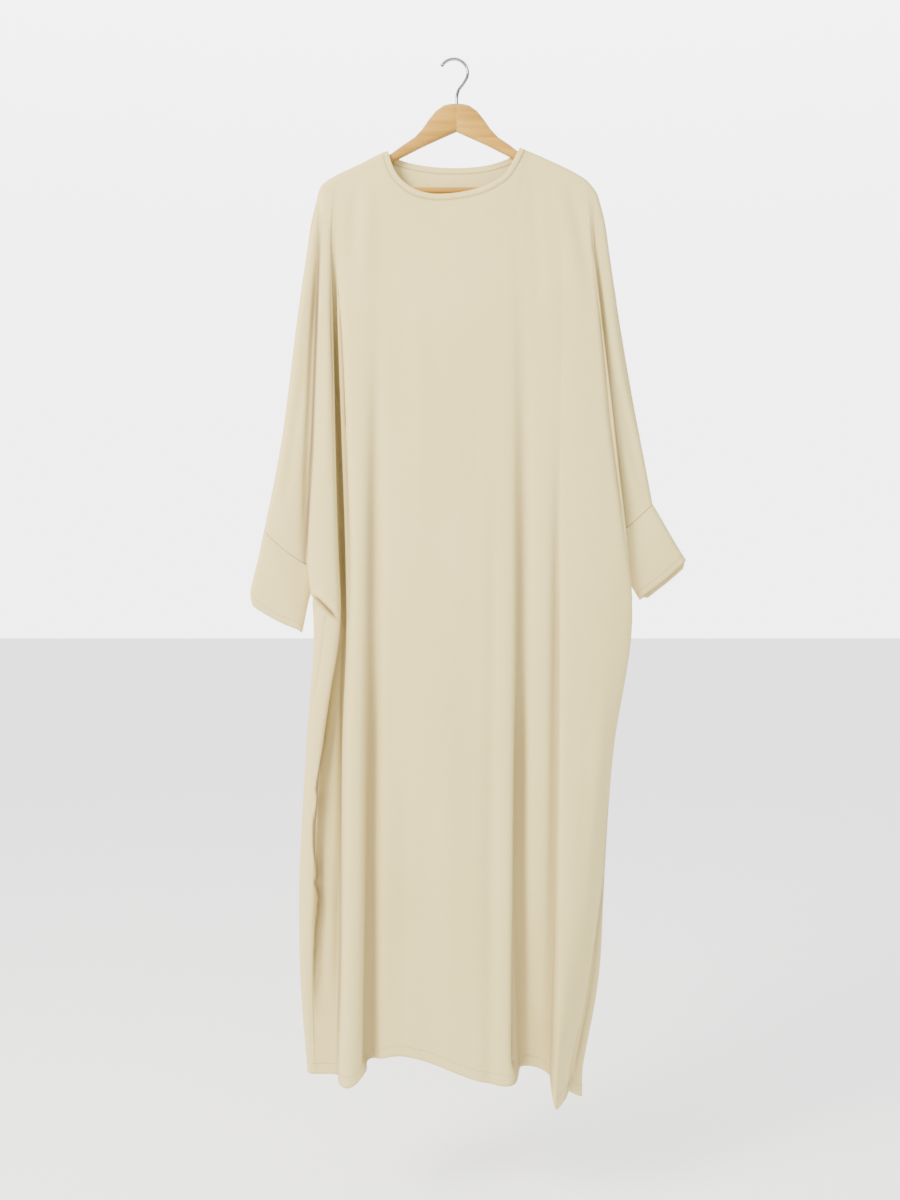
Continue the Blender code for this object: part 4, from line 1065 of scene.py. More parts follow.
def stitch_tree():
    """Stitches along the edges of a line: short rounded threads, each a little different."""
    tree = Tree("stitch row", (("Length", "Float", 0.0026), ("Gap", "Float", 0.0012),
                               ("Thread", "Float", 0.0003), ("Unevenness", "Float", 0.08),
                               ("Seed", "Int", 7), ("Material", "Material", None)))
    give = tree.input.outputs

    def worked(operation, first, second):
        return tree.node("ShaderNodeMath", {0: first, 1: second}, operation=operation).outputs[0]

    curve = tree.node("GeometryNodeMeshToCurve", {"Mesh": give["Geometry"]}).outputs["Curve"]
    pitch = worked("ADD", give["Length"], give["Gap"])
    spaced = tree.node("GeometryNodeResampleCurve", {"Curve": curve, "Length": pitch}, mode="LENGTH")
    tangent = tree.node("GeometryNodeInputTangent").outputs["Tangent"]
    turn = tree.node("FunctionNodeAlignRotationToVector", {"Vector": tangent}, axis="Z")
    grain = tree.node("GeometryNodeMeshUVSphere", {"Segments": 6, "Rings": 5, "Radius": 1.0})
    half = worked("MULTIPLY", give["Length"], 0.5)
    size = tree.node("ShaderNodeCombineXYZ", {"X": give["Thread"], "Y": give["Thread"], "Z": half})
    ends = {"Min": worked("SUBTRACT", 1.0, give["Unevenness"]),
            "Max": worked("ADD", 1.0, give["Unevenness"])}
    change = tree.node("FunctionNodeRandomValue", {"Seed": give["Seed"]}, data_type="FLOAT")
    for socket in change.inputs:
        if socket.enabled and socket.name in ends:
            tree.put(socket, ends[socket.name])
    value = next(socket for socket in change.outputs if socket.enabled)
    scale = tree.node("ShaderNodeVectorMath", {0: size.outputs[0], "Scale": value}, operation="SCALE")
    laid = tree.node("GeometryNodeInstanceOnPoints", {
        "Points": spaced.outputs["Curve"], "Instance": grain.outputs["Mesh"],
        "Rotation": turn.outputs["Rotation"], "Scale": scale.outputs[0]})
    real = tree.node("GeometryNodeRealizeInstances", {"Geometry": laid.outputs["Instances"]})
    dyed = tree.node("GeometryNodeSetMaterial", {"Geometry": real.outputs["Geometry"],
                                                 "Material": give["Material"]})
    tree.put(tree.output.inputs[0], dyed.outputs["Geometry"])
    return tree


def stitched(name, lines, tree, look, material):
    """One mesh of stitches along lines of points in millimetres; a closed line ends on its start."""
    points = []
    edges = []
    for line, closed in lines:
        first = len(points)
        points += list(line)
        edges += [(first + k, first + k + 1) for k in range(len(line) - 1)]
        if closed:
            edges.append((len(points) - 1, first))
    thing = new_mesh(name, points, [], edges=edges)
    sewing = thing.modifiers.new("stitches", "NODES")
    sewing.node_group = tree.group
    tree.fill(sewing, Length=look.length, Gap=look.gap, Thread=look.thread,
              Unevenness=look.unevenness, Seed=look.seed, Material=material)
    return finished(thing)


# Hanger: the gap at the mitre that the glue fills, and how near the end face a point is moved
MITRE_GAP = 0.42
MITRE_REACH = 0.6

# Width of the rounding on the wood's edges, and the slope of the arms' grain in degrees
WOOD_EASE = 0.4
GRAIN_SLOPE = 27

# Hook: half thickness of its wire, its sides, the space of its rings, and its tip, as distances back
# from the end with their shares of the tip's half thickness
HOOK_WIRE = 2.5
HOOK_SIDES = 20
HOOK_STEP = 1.0
HOOK_TIP = ((0, 0.0), (0.35, 0.5), (0.9, 0.8), (1.8, 1.0), (3.2, 1.0), (4.6, 0.85))

# Cuffs: length of the weave's pattern along one, and the height and lengths of its waves
CUFF_PATTERN = 100
CUFF_WAVE = 0.7
CUFF_WAVE_X = 9
CUFF_WAVE_Z = 31

# Neck band: rings across it, width of its pattern between two, its inner edge, and its crown
BAND_RINGS = 9
BAND_PATTERN = 1.1
BAND_INNER = 0.2
BAND_CROWN = 0.5

# Sewing: how far in from the band's edge, how far along a cuff and at which row place it runs, and
# the share of the thread's half thickness that stands out of the cloth
NECK_ROW_IN = 1.3
CUFF_ROW = 0.9
HEM_ROW = 1.977
HEM_ENDS = 0.1
THREAD_OUT = 0.45

# How far out of the cloth a line of sewing starts before it is laid on
SEWING_OUT = 3.0

# Each sheet's cut: full width in metres, or 0 on a tube, where it follows from the area, its length,
# the pieces that it rests on, and its stitches
ARMS = ("hanger_arm_left_wood", "hanger_arm_right_wood")
PANELS = ("front_cloth", "back_cloth")
CUTS = (
    ("front_cloth", 1.16, 1.49, ARMS, ("stitches_hem",)),
    ("back_cloth", 1.06, 1.50, ARMS, ()),
    ("cuff_cloth_left", 0, 0.104, PANELS, ("stitches_cuffs",)),
    ("cuff_cloth_right", 0, 0.104, PANELS, ()),
    ("neck_band", 0, 0.0105, PANELS, ("stitches_neck",)),
)

# Stage, in metres: half width of the floor, height of the view in the hook's plane, and the lights
FLOOR_REACH = 30.0
VIEW_HEIGHT = 1.872
SENSOR_MM = 36.0
KEY_LIGHT = dict(place=(-1.75, -1.6, 0.55), target=(0.0, 0.0, -0.55), size=1.1,
                 colour=(1.0, 0.955, 0.85))
FILL_LIGHT = dict(place=(2.2, -2.2, -0.2), target=(0.0, 0.0, -0.9), size=2.2,
                  colour=(0.97, 0.985, 1.0))

# Creases of the front as the photograph shows them: name, line down the cloth (x, z), half width,
# and height out of the sheet, in millimetres. A name that ends in _down keeps its lower end.
FRONT_CREASES = (
    ("underarm_left", ((-226, -832), (-204, -852), (-178, -875)), 4.2, -9.0),
    ("underarm_left_roll", ((-214, -822), (-196, -841), (-176, -860)), 6.0, 3.0),
    ("underarm_left_tail", ((-206, -868), (-192, -880), (-178, -886)), 5.0, -2.0),
    ("side_seam", ((-200, -852), (-206, -908), (-213, -962), (-220, -1000)), 2.0, -1.4),
    ("strip_a", ((-211, -1300), (-218, -1338), (-221, -1363)), 3.5, -1.4),
    ("strip_b", ((-207, -1368), (-221, -1403)), 4.0, -1.5),
    ("strip_c", ((-203, -1418), (-217, -1468)), 4.5, -1.5),
    ("strip_d", ((-229, -1171), (-214, -1149)), 3.5, -1.2),
    ("strip_e", ((-229, -1296), (-214, -1277)), 3.5, -1.2),
    ("yoke_left", ((-150, -176), (-156, -240), (-160, -330)), 11, -1.8),
    ("yoke_left_roll", ((-132, -168), (-138, -260), (-140, -380)), 13, 1.6),
    ("yoke_right", ((176, -186), (196, -260), (214, -360)), 10, -1.8),
    ("yoke_right_roll", ((150, -170), (176, -262), (198, -390)), 13, 1.6),
    ("breast_right", ((120, -170), (128, -270), (132, -420)), 10, -1.4),
    ("sleeve_left_a", ((-222, -300), (-240, -420), (-252, -560)), 8, 1.6),
    ("sleeve_left_b", ((-232, -470), (-252, -600), (-268, -720)), 7, -1.5),
    ("sleeve_right_a", ((232, -300), (252, -440), (270, -560)), 9, 1.8),
    ("sleeve_right_b", ((246, -470), (272, -580), (294, -672)), 7, -1.6),
    ("sleeve_right_c", ((262, -600), (280, -660), (296, -690)), 6, 1.3),
    ("strip_mid", ((-196, -420), (-200, -560), (-199, -700)), 7, 1.4),
    ("last_mid", ((214, -880), (196, -1120), (178, -1330)), 12, 1.6),
    ("last_low", ((176, -1260), (166, -1420), (160, -1560)), 9, -1.6),
    ("valley_left", ((-188, -288), (-180, -520), (-172, -760), (-170, -880), (-176, -935)), 8, -10.0),
    ("armhole_left", ((-209, -232), (-222, -440), (-231, -640), (-234, -780), (-226, -836)), 4, -6.0),
    ("strip_edge", ((-168, -880), (-182, -973), (-197, -1074), (-207, -1140), (-211, -1200),
                    (-210, -1270), (-206, -1330), (-206, -1400), (-206, -1500)), 6.0, -7.0),
    ("roll_edge", ((-172, -900), (-177, -1050), (-180, -1250), (-183, -1400), (-184, -1540)),
     5.0, -6.0),
    ("band_left_down", ((-121, -380), (-124, -780), (-127, -1076), (-129, -1560)), 11, -10.0),
    ("band_left_low_down", ((-124, -850), (-127, -1150), (-130, -1560)), 9, -9.0),
    ("band_right_down", ((108, -380), (107, -780), (104, -1076), (100, -1560)), 10, -8.0),
    ("band_right_low_down", ((106, -900), (104, -1150), (99, -1560)), 8, -10.0),
    ("fold_right_down", ((159, -560), (158, -860), (154, -1250), (149, -1600)), 8, -5.5),
    ("last_edge_down", ((236, -880), (224, -1060), (216, -1154), (206, -1330), (196, -1500)), 15, 5.0),
    ("armhole_right", ((211, -205), (228, -380), (243, -560), (262, -700), (276, -835)), 4, -5.0),
    ("fold_mid_down", ((62, -560), (60, -900), (58, -1300), (56, -1600)), 11, -3.0),
    ("middle_a", ((-60, -300), (-52, -560), (-50, -800)), 18, 1.2),
    ("middle_b", ((30, -420), (34, -800), (32, -1100)), 20, -1.3),
    ("middle_c_down", ((-12, -900), (-10, -1250), (-8, -1600)), 22, 2.0),
    ("middle_d_down", ((52, -1000), (54, -1300), (55, -1620)), 15, -1.8),
    ("middle_e_down", ((-78, -1050), (-80, -1300), (-82, -1600)), 14, -1.6),
)

# Where the front's folds close, lines of shade painted into the cloth: name, line (x, z), half width,
# share of the painted shade colour, and the side it fades to: -1 left, 1 right, 0 both
FRONT_PAINTED_SHADES = (
    ("valley", ((-191, -250), (-189.5, -405), (-181, -561), (-174, -717), (-171, -873), (-174, -960)),
     6.5, 0.6, 0),
    ("strip_lap", ((-171, -890), (-179, -907), (-191, -973), (-205, -1074), (-217, -1135),
                   (-213, -1156), (-221, -1188), (-221, -1229), (-214, -1266), (-218, -1284),
                   (-211, -1301), (-217, -1357), (-219, -1420), (-216, -1500)), 9, 0.97, 1),
    ("roll_lap", ((-171, -860), (-177, -998), (-179, -1154), (-179.5, -1310), (-181, -1466),
                  (-183, -1620)), 2.6, 0.8, 0),
    ("sleeve_lap", ((-211, -215), (-214, -405), (-221, -561), (-229, -717), (-232, -790),
                    (-224, -838)), 5, 0.9, -1),
    ("sleeve_line", ((-207, -232), (-214.5, -375), (-222, -610), (-233, -780), (-225, -845)),
     2.8, 1.0, 0),
    ("underarm", ((-223, -834), (-200, -855), (-180, -874)), 2.8, 1.0, 0),
    ("side_seam", ((-200, -850), (-206, -908), (-214, -962), (-222, -1000)), 1.2, 0.3, 0),
    ("trough_left_down", ((-126, -420), (-128, -800), (-129, -1200), (-130, -1600)), 11, 0.42, 0),
    ("trough_middle_down", ((108, -420), (104, -900), (101, -1300), (98, -1620)), 9, 0.45, 0),
    ("fold_right_down", ((159, -520), (158, -860), (154, -1250), (149, -1600)), 6, 0.5, 0),
    ("armhole_right", ((212, -215), (228, -380), (243, -560), (262, -700), (276, -835)), 4, 0.5, 1),
    ("last_edge", ((241, -1140), (233, -1269), (224, -1337), (215, -1411), (205, -1475), (194, -1535),
                   (185, -1576), (173, -1613), (160, -1660)), 2.0, 0.8, 0),
)

# The back's folds beside its sides and its pulls under the arms, each a crease and a line of painted
# shade
BACK_SIDE_LEFT = ((-176, -330), (-186, -560), (-186, -820), (-182, -1060), (-178, -1400))
BACK_SIDE_RIGHT = ((188, -330), (202, -560), (206, -800), (186, -1060), (158, -1420))
BACK_PULL_LEFT = ((-206, -836), (-186, -866), (-160, -912))
BACK_PULL_RIGHT = ((236, -812), (214, -846), (184, -900))

# Lines of painted shade where the back's folds close, with the same columns as FRONT_PAINTED_SHADES.
# All but the last edge are guessed.
BACK_PAINTED_SHADES = (
    ("last_edge", ((242, -1140), (234, -1269), (225, -1337), (216, -1411), (206, -1475), (195, -1535),
                   (186, -1576), (174, -1613), (161, -1660)), 3.5, 0.7, 1),
    ("fold_left_down", ((-112, -360), (-118, -620), (-122, -1076), (-126, -1620)), 11, 0.34, 0),
    ("fold_right_down", ((110, -350), (112, -620), (106, -1076), (98, -1620)), 10, 0.34, 0),
    ("fold_middle_down", ((18, -640), (12, -950), (8, -1300), (6, -1620)), 11, 0.26, 0),
    ("side_left", BACK_SIDE_LEFT, 8, 0.3, 0),
    ("side_right", BACK_SIDE_RIGHT, 8, 0.3, 0),
    ("pull_left", BACK_PULL_LEFT, 5, 0.34, 0),
    ("pull_right", BACK_PULL_RIGHT, 5, 0.34, 0),
)

# Creases of the back, all guessed, with the same columns as FRONT_CREASES
BACK_CREASES = (
    ("shoulder_left", ((-160, -190), (-172, -270), (-176, -370)), 12, 1.8),
    ("shoulder_right", ((170, -190), (190, -280), (200, -380)), 12, 1.8),
    ("sleeve_left", ((-232, -420), (-250, -560), (-262, -700)), 8, -1.6),
    ("sleeve_left_roll", ((-222, -330), (-236, -470), (-246, -620)), 9, 1.6),
    ("sleeve_right", ((250, -400), (272, -560), (290, -670)), 8, -1.6),
    ("sleeve_right_roll", ((234, -320), (254, -470), (270, -610)), 9, 1.6),
    ("blade_left", ((-90, -230), (-104, -400), (-112, -600)), 15, 1.6),
    ("blade_right", ((92, -230), (112, -400), (122, -620)), 15, 1.6),
    ("seat_left", ((-120, -900), (-134, -1150), (-140, -1400)), 14, -1.8),
    ("seat_right", ((120, -880), (112, -1150), (104, -1420)), 14, -1.8),
    ("low_a_down", ((-60, -1000), (-64, -1300), (-66, -1620)), 16, 2.0),
    ("low_b_down", ((40, -1050), (42, -1300), (42, -1640)), 16, -1.8),
    ("fold_left_down", ((-112, -330), (-118, -620), (-122, -1076), (-126, -1620)), 13, -6.5),
    ("fold_left_roll_down", ((-88, -360), (-92, -700), (-94, -1100), (-96, -1620)), 12, 4.0),
    ("fold_right_down", ((110, -320), (112, -620), (106, -1076), (98, -1620)), 12, -6.5),
    ("fold_right_roll_down", ((134, -380), (138, -700), (134, -1100), (124, -1600)), 11, 4.0),
    ("fold_middle_down", ((18, -620), (12, -950), (8, -1300), (6, -1620)), 14, -5.0),
    ("fold_middle_roll_down", ((-18, -560), (-26, -900), (-30, -1300), (-32, -1620)), 14, 3.5),
    ("side_left", BACK_SIDE_LEFT, 9, -4.5),
    ("side_right", BACK_SIDE_RIGHT, 9, -4.5),
    ("pull_left", BACK_PULL_LEFT, 6, -3.5),
    ("pull_right", BACK_PULL_RIGHT, 6, -3.5),
)


class AbayaCloth(bpy.types.PropertyGroup):
    """Sizes and colours of the cloth."""

    wall: bpy.props.FloatProperty(name="Cloth thickness", default=0.8, min=0.2, max=2.0,
                                  description="Thickness of the shown cloth in mm")
    band_wall: bpy.props.FloatProperty(name="Neck band thickness", default=1.5, min=0.4, max=3.0,
                                       description="Thickness of the folded neck band in mm")
    ripple: bpy.props.FloatProperty(name="Ripple", description="Height of the soft unevenness in mm",
                                    default=0.9, min=0.0, max=3.0)
    crease_share: bpy.props.FloatProperty(name="Creases", description="Share of each crease's height",
                                          default=1.0, min=0.0, max=1.5)
    columns_between: bpy.props.IntProperty(name="Fineness", default=6, min=2, max=8,
                                           description="Mesh columns for each fold line")
    light: bpy.props.FloatVectorProperty(name="Light tone", description="Lighter tone of the crepe",
                                         subtype="COLOR", size=4, default=(0.70, 0.575, 0.25, 1.0))
    dark: bpy.props.FloatVectorProperty(name="Dark tone", description="Darker tone of the crepe",
                                        subtype="COLOR", size=4, default=(0.64, 0.515, 0.212, 1.0))
    # Colour of the shade painted into closed folds
    pore_and_painted_fold_shade: bpy.props.FloatVectorProperty(name="Deep tone", subtype="COLOR", size=4,
                                        description="Tone of the crepe where folds close",
                                        default=(0.18, 0.12, 0.06, 1.0))
    thread_mm: bpy.props.FloatProperty(name="Yarn", description="Spacing of the yarns in mm",
                                       default=0.55, min=0.2, max=2.0)


class AbayaStitch(bpy.types.PropertyGroup):
    """Sizes of the sewing."""

    length: bpy.props.FloatProperty(name="Stitch length", description="Length of one stitch",
                                    default=0.0027, min=0.001, max=0.01, unit="LENGTH")
    gap: bpy.props.FloatProperty(name="Gap", description="Clear cloth between two stitches",
                                 default=0.0011, min=0.0001, max=0.01, unit="LENGTH")
    thread: bpy.props.FloatProperty(name="Thread", description="Half thickness of the thread",
                                    default=0.00032, min=0.0001, max=0.002, unit="LENGTH")
    unevenness: bpy.props.FloatProperty(name="Unevenness", default=0.1, min=0.0, max=0.5,
                                        description="How much stitches differ in size")
    seed: bpy.props.IntProperty(name="Seed", description="Seed of the differences", default=7)
    colour: bpy.props.FloatVectorProperty(name="Thread colour", description="Colour of the thread",
                                          subtype="COLOR", size=4, default=(0.36, 0.27, 0.14, 1.0))


class AbayaHanger(bpy.types.PropertyGroup):
    """Finishes of the hanger."""

    light: bpy.props.FloatVectorProperty(name="Light wood", description="Early wood of the arms",
                                         subtype="COLOR", size=4, default=(0.50, 0.27, 0.035, 1.0))
    dark: bpy.props.FloatVectorProperty(name="Dark wood", description="Late wood of the arms",
                                        subtype="COLOR", size=4, default=(0.33, 0.16, 0.018, 1.0))
    bar: bpy.props.FloatVectorProperty(name="Bar", description="Wood of the round bar",
                                       subtype="COLOR", size=4, default=(0.50, 0.25, 0.015, 1.0))
    metal: bpy.props.FloatVectorProperty(name="Metal", description="Plating of the hook",
                                         subtype="COLOR", size=4, default=(0.24, 0.245, 0.26, 1.0))
    tip: bpy.props.FloatProperty(name="Hook tip", default=3.0, min=1.8, max=4.0,
                                 description="Half thickness of the hook's rounded tip in mm")


class AbayaStage(bpy.types.PropertyGroup):
    """Floor, lights and camera."""

    floor: bpy.props.FloatProperty(name="Floor", description="Height of the floor",
                                   default=-1.80, unit="LENGTH")
    key: bpy.props.FloatProperty(name="Key light", description="Power of the soft key light in watts",
                                 default=165.0)
    fill: bpy.props.FloatProperty(name="Fill light", description="Power of the fill light in watts",
                                  default=5.0)
    room_front: bpy.props.FloatProperty(name="Room in front", default=0.3,
                                        description="Strength of the room's light in front")
    room_behind: bpy.props.FloatProperty(name="Room behind", default=5.0,
                                         description="Strength of the room's light behind")
    room_above: bpy.props.FloatProperty(name="Room above", default=2.3,
                                        description="Strength of the room's light from above")
    distance: bpy.props.FloatProperty(name="Camera distance", default=2.0, unit="LENGTH",
                                      description="Distance from the hook's plane")


def laid_on(thing, line, lift):
    """A line of points in millimetres brought onto an object's surface, lifted by the given amount."""
    laid = []
    for point in line:
        found, spot, normal, face = thing.closest_point_on_mesh([c * MM for c in point])
        if not found:
            raise RuntimeError("no surface under the sewing on " + thing.name)
        laid.append(np.array(spot) / MM + np.array(normal) * lift)
    return np.array(laid)


def outside_row(row_of, places, v, side):
    """A row of a panel, moved out of the cloth."""
    here = row_of(places, v)
    ahead = row_of(places, v - 0.006)
    out = np.cross(np.gradient(here, axis=0), here - ahead)
    out = out / np.maximum(np.linalg.norm(out, axis=1, keepdims=True), 1e-6)
    return here + side * out * SEWING_OUT


def cloth_look(context):
    look = context.scene.abaya_cloth
    if "crepe" in bpy.data.materials:
        return look, bpy.data.materials["crepe"]
    return look, crepe("crepe", tuple(look.light), tuple(look.dark), tuple(look.pore_and_painted_fold_shade), look.thread_mm)


class ABAYA_OT_front_panel(bpy.types.Operator):
    """Make the front, cut in one with the front halves of the sleeves"""

    bl_idname = "abaya.front_panel"
    bl_label = "Front panel"

    def execute(self, context):
        look, material = cloth_look(context)
        thing = make_panel("front_cloth", front_row, FRONT, FRONT_BODY, -1, FRONT_CREASES, FRONT_PAINTED_SHADES,
                           0.4, look)
        walled(thing, look.wall, material, "front_panel")
        return {"FINISHED"}


class ABAYA_OT_back_panel(bpy.types.Operator):
    """Make the back, cut in one with the back halves of the sleeves"""

    bl_idname = "abaya.back_panel"
    bl_label = "Back panel"

    def execute(self, context):
        look, material = cloth_look(context)
        thing = make_panel("back_cloth", back_row, BACK, BACK_BODY, 1, BACK_CREASES, BACK_PAINTED_SHADES, 2.3,
                           look)
        walled(thing, look.wall, material, "back_panel")
        return {"FINISHED"}


class ABAYA_OT_cuffs(bpy.types.Operator):
    """Make the two cuffs, each a tube sewn to its sleeve's end"""

    bl_idname = "abaya.cuffs"
    bl_label = "Cuffs"

    def execute(self, context):
        look, material = cloth_look(context)
        for side, phase in (("left", 0.8), ("right", 2.9)):
            rings = [cuff_ring(side, step) for step in CUFF_STEPS]
            count = len(rings[0])
            faces, corners = ring_faces(len(rings), count, side == "right")
            around = np.vstack([rings[5], rings[5][:1]])
            girth = np.cumsum(np.linalg.norm(np.diff(around, axis=0), axis=1))
            girth = np.concatenate([[0], girth])
            cloth = [(girth[column], -CUFF_PATTERN * CUFF_STEPS[row]) for column, row in corners]
            points = np.concatenate(rings)
            thing = new_mesh("cuff_cloth_" + side, points, faces, cloth)
            middle = np.sin(np.pi * np.repeat(CUFF_STEPS, count)) ** 0.5
            wave = np.sin(points[:, 0] / CUFF_WAVE_X + points[:, 2] / CUFF_WAVE_Z + phase)
            push_out(thing, points, normals_of(thing), CUFF_WAVE * wave * middle * look.ripple)
            walled(thing, look.wall, material, "cuff_" + side)
        return {"FINISHED"}


class ABAYA_OT_neck_band(bpy.types.Operator):
    """Make the narrow folded band round the neck"""

    bl_idname = "abaya.neck_band"
    bl_label = "Neck band"

    def execute(self, context):
        look, material = cloth_look(context)
        rings = [neck_ring(out) for out in np.linspace(BAND_INNER, BAND_WIDTH, BAND_RINGS)]
        count = len(rings[0])
        faces, corners = ring_faces(len(rings), count, False)
        length = np.linalg.norm(np.diff(rings[4], axis=0), axis=1)
        girth = np.concatenate([[0], np.cumsum(length), [length.sum()]])
        cloth = [(girth[column], row * BAND_PATTERN) for column, row in corners]
        points = np.concatenate(rings)
        thing = new_mesh("neck_band", points, faces, cloth)
        crown = np.sin(np.pi * np.repeat(np.linspace(0, 1, len(rings)), count)) ** 0.6 * BAND_CROWN
        push_out(thing, points, normals_of(thing), crown)
        walled(thing, look.band_wall, material, "neck_binding")
        return {"FINISHED"}


class ABAYA_OT_stitches(bpy.types.Operator):
    """Sew the neck band, the cuffs' edges and the hem with rows of stitches"""

    bl_idname = "abaya.stitches"
    bl_label = "Stitches"

    def execute(self, context):
        look = context.scene.abaya_stitch
        colour = thread("sewing_thread", tuple(look.colour))
        tree = stitch_tree()
        lift = look.thread / MM * THREAD_OUT
        band = bpy.data.objects["neck_band"]
        ring = neck_ring(BAND_WIDTH - NECK_ROW_IN, 260)
        ring[:, 1] += np.sign(ring[:, 1]) * SEWING_OUT
        sewn = [stitched("stitches_neck", [(laid_on(band, ring, lift), True)], tree, look, colour)]
        lines = []
        for side in ("left", "right"):
            cuff = bpy.data.objects["cuff_cloth_" + side]
            ring = cuff_ring(side, CUFF_ROW)
            ring[:, 1] += np.sign(ring[:, 1]) * SEWING_OUT
            lines.append((laid_on(cuff, ring, lift), True))
        sewn.append(stitched("stitches_cuffs", lines, tree, look, colour))
        lines = []
        for name, row_of, columns, body, side in (("front_cloth", front_row, FRONT, FRONT_BODY, -1),
                                                  ("back_cloth", back_row, BACK, BACK_BODY, 1)):
            cloth = bpy.data.objects[name]
            places = fine(range(len(columns)), 12)
            places = places[(places >= body[0] + HEM_ENDS) & (places <= body[1] - HEM_ENDS)]
            hem = outside_row(row_of, places, HEM_ROW, side)
            lines.append((laid_on(cloth, hem, lift), False))
        sewn.append(stitched("stitches_hem", lines, tree, look, colour))
        return {"FINISHED"}


class ABAYA_OT_hanger(bpy.types.Operator):
    """Finish the wooden arms and bar, and make the hook of chrome wire"""

    bl_idname = "abaya.hanger"
    bl_label = "Hanger"

    def execute(self, context):
        look = context.scene.abaya_hanger
        light, dark = tuple(look.light), tuple(look.dark)
        slope = math.radians(GRAIN_SLOPE)
        woods = {
            "hanger_arm_left": grained_wood("wood_left", light, dark, (0, slope, 0), 0.12),
            "hanger_arm_right": grained_wood("wood_right", light, dark, (0, -slope, 0), 0.12),
            "hanger_bar": grained_wood("wood_bar", tuple(look.bar), dark, (0, 0, 0), 0.1),
        }
        for node, wood in woods.items():
            self.refine(node, wood)
        self.hook(look)
        return {"FINISHED"}

    def refine(self, node, wood):
        """A smooth copy of a wooden solid, with its edges eased."""
        thing = placed(node + "_wood", frame["nodes"][node].data.copy())
        weld = thing.modifiers.new("weld", "WELD")
        weld.merge_threshold = 0.00001
        ease = thing.modifiers.new("ease", "BEVEL")
        ease.width = WOOD_EASE * MM
        ease.segments = 2
        ease.limit_method = "ANGLE"
        ease.angle_limit = math.radians(40)
        thing = finished(thing)
        thing.data.set_sharp_from_angle(angle=math.radians(45))
        if node == "hanger_arm_left":
            self.close_mitre(thing)
        dressed(thing, wood)
        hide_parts(node)

    def close_mitre(self, thing):
        """Brings the arm's end face up to the other arm, as glued."""
        end = max(vertex.co.x for vertex in thing.data.vertices)
        for vertex in thing.data.vertices:
            if end - vertex.co.x < MITRE_REACH * MM:
                vertex.co.x += MITRE_GAP * MM

    def hook(self, look):
        """Wire along the hook's own line, ending in a small rounded tip."""
        loop = []
        for k in range(int((LOOP_TO - LOOP_FROM) / LOOP_STEP) + 1):
            angle = math.radians(LOOP_FROM + k * LOOP_STEP)
            loop.append((LOOP_CENTRE[0] + LOOP_RADIUS * math.cos(angle),
                         LOOP_CENTRE[1] + LOOP_RADIUS * math.sin(angle)))
        route = Path(HOOK_STEM + tuple(loop), 4)
        distances = list(np.arange(0, route.length, HOOK_STEP)) + [route.length]
        radii = [HOOK_WIRE] * len(distances)
        for back, share in HOOK_TIP:
            distances.append(route.length - back)
            radii.append(look.tip * share if share * look.tip > HOOK_WIRE or back < 1 else HOOK_WIRE)
        order = np.argsort(distances)
        distances = [distances[k] for k in order]
        radii = [radii[k] for k in order]
        points = []
        for distance, radius in zip(distances, radii):
            x, z = route.at(distance)
            ahead = route.at(min(distance + 0.5, route.length)) - route.at(max(distance - 0.5, 0))
            ahead = ahead / np.linalg.norm(ahead)
            for k in range(HOOK_SIDES):
                angle = 2 * math.pi * k / HOOK_SIDES
                side = math.cos(angle) * radius
                points.append((x - ahead[1] * side, math.sin(angle) * radius, z + ahead[0] * side))
        rings = len(distances)
        faces, corners = ring_faces(rings, HOOK_SIDES, False)
        faces.append(tuple(range(HOOK_SIDES)))
        faces.append(tuple((rings - 1) * HOOK_SIDES + k for k in range(HOOK_SIDES))[::-1])
        thing = new_mesh("hook_wire", points, faces)
        weld = thing.modifiers.new("weld", "WELD")
        weld.merge_threshold = 0.00002
        thing = finished(thing)
        dressed(thing, chrome_wire("chrome", tuple(look.metal)))
        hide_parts("hanger_hook")


class ABAYA_OT_declare(bpy.types.Operator):
    """Work out the flat width of each sheet of cloth from its area; nothing is kept"""

    bl_idname = "abaya.declare"
    bl_label = "State the cuts"

    def execute(self, context):
        objects = bpy.data.objects
        for name, width, length, rests, stitches in CUTS:
            thing = objects[name]
            area = thing["cut_area"]
            width = width or area / length
        return {"FINISHED"}


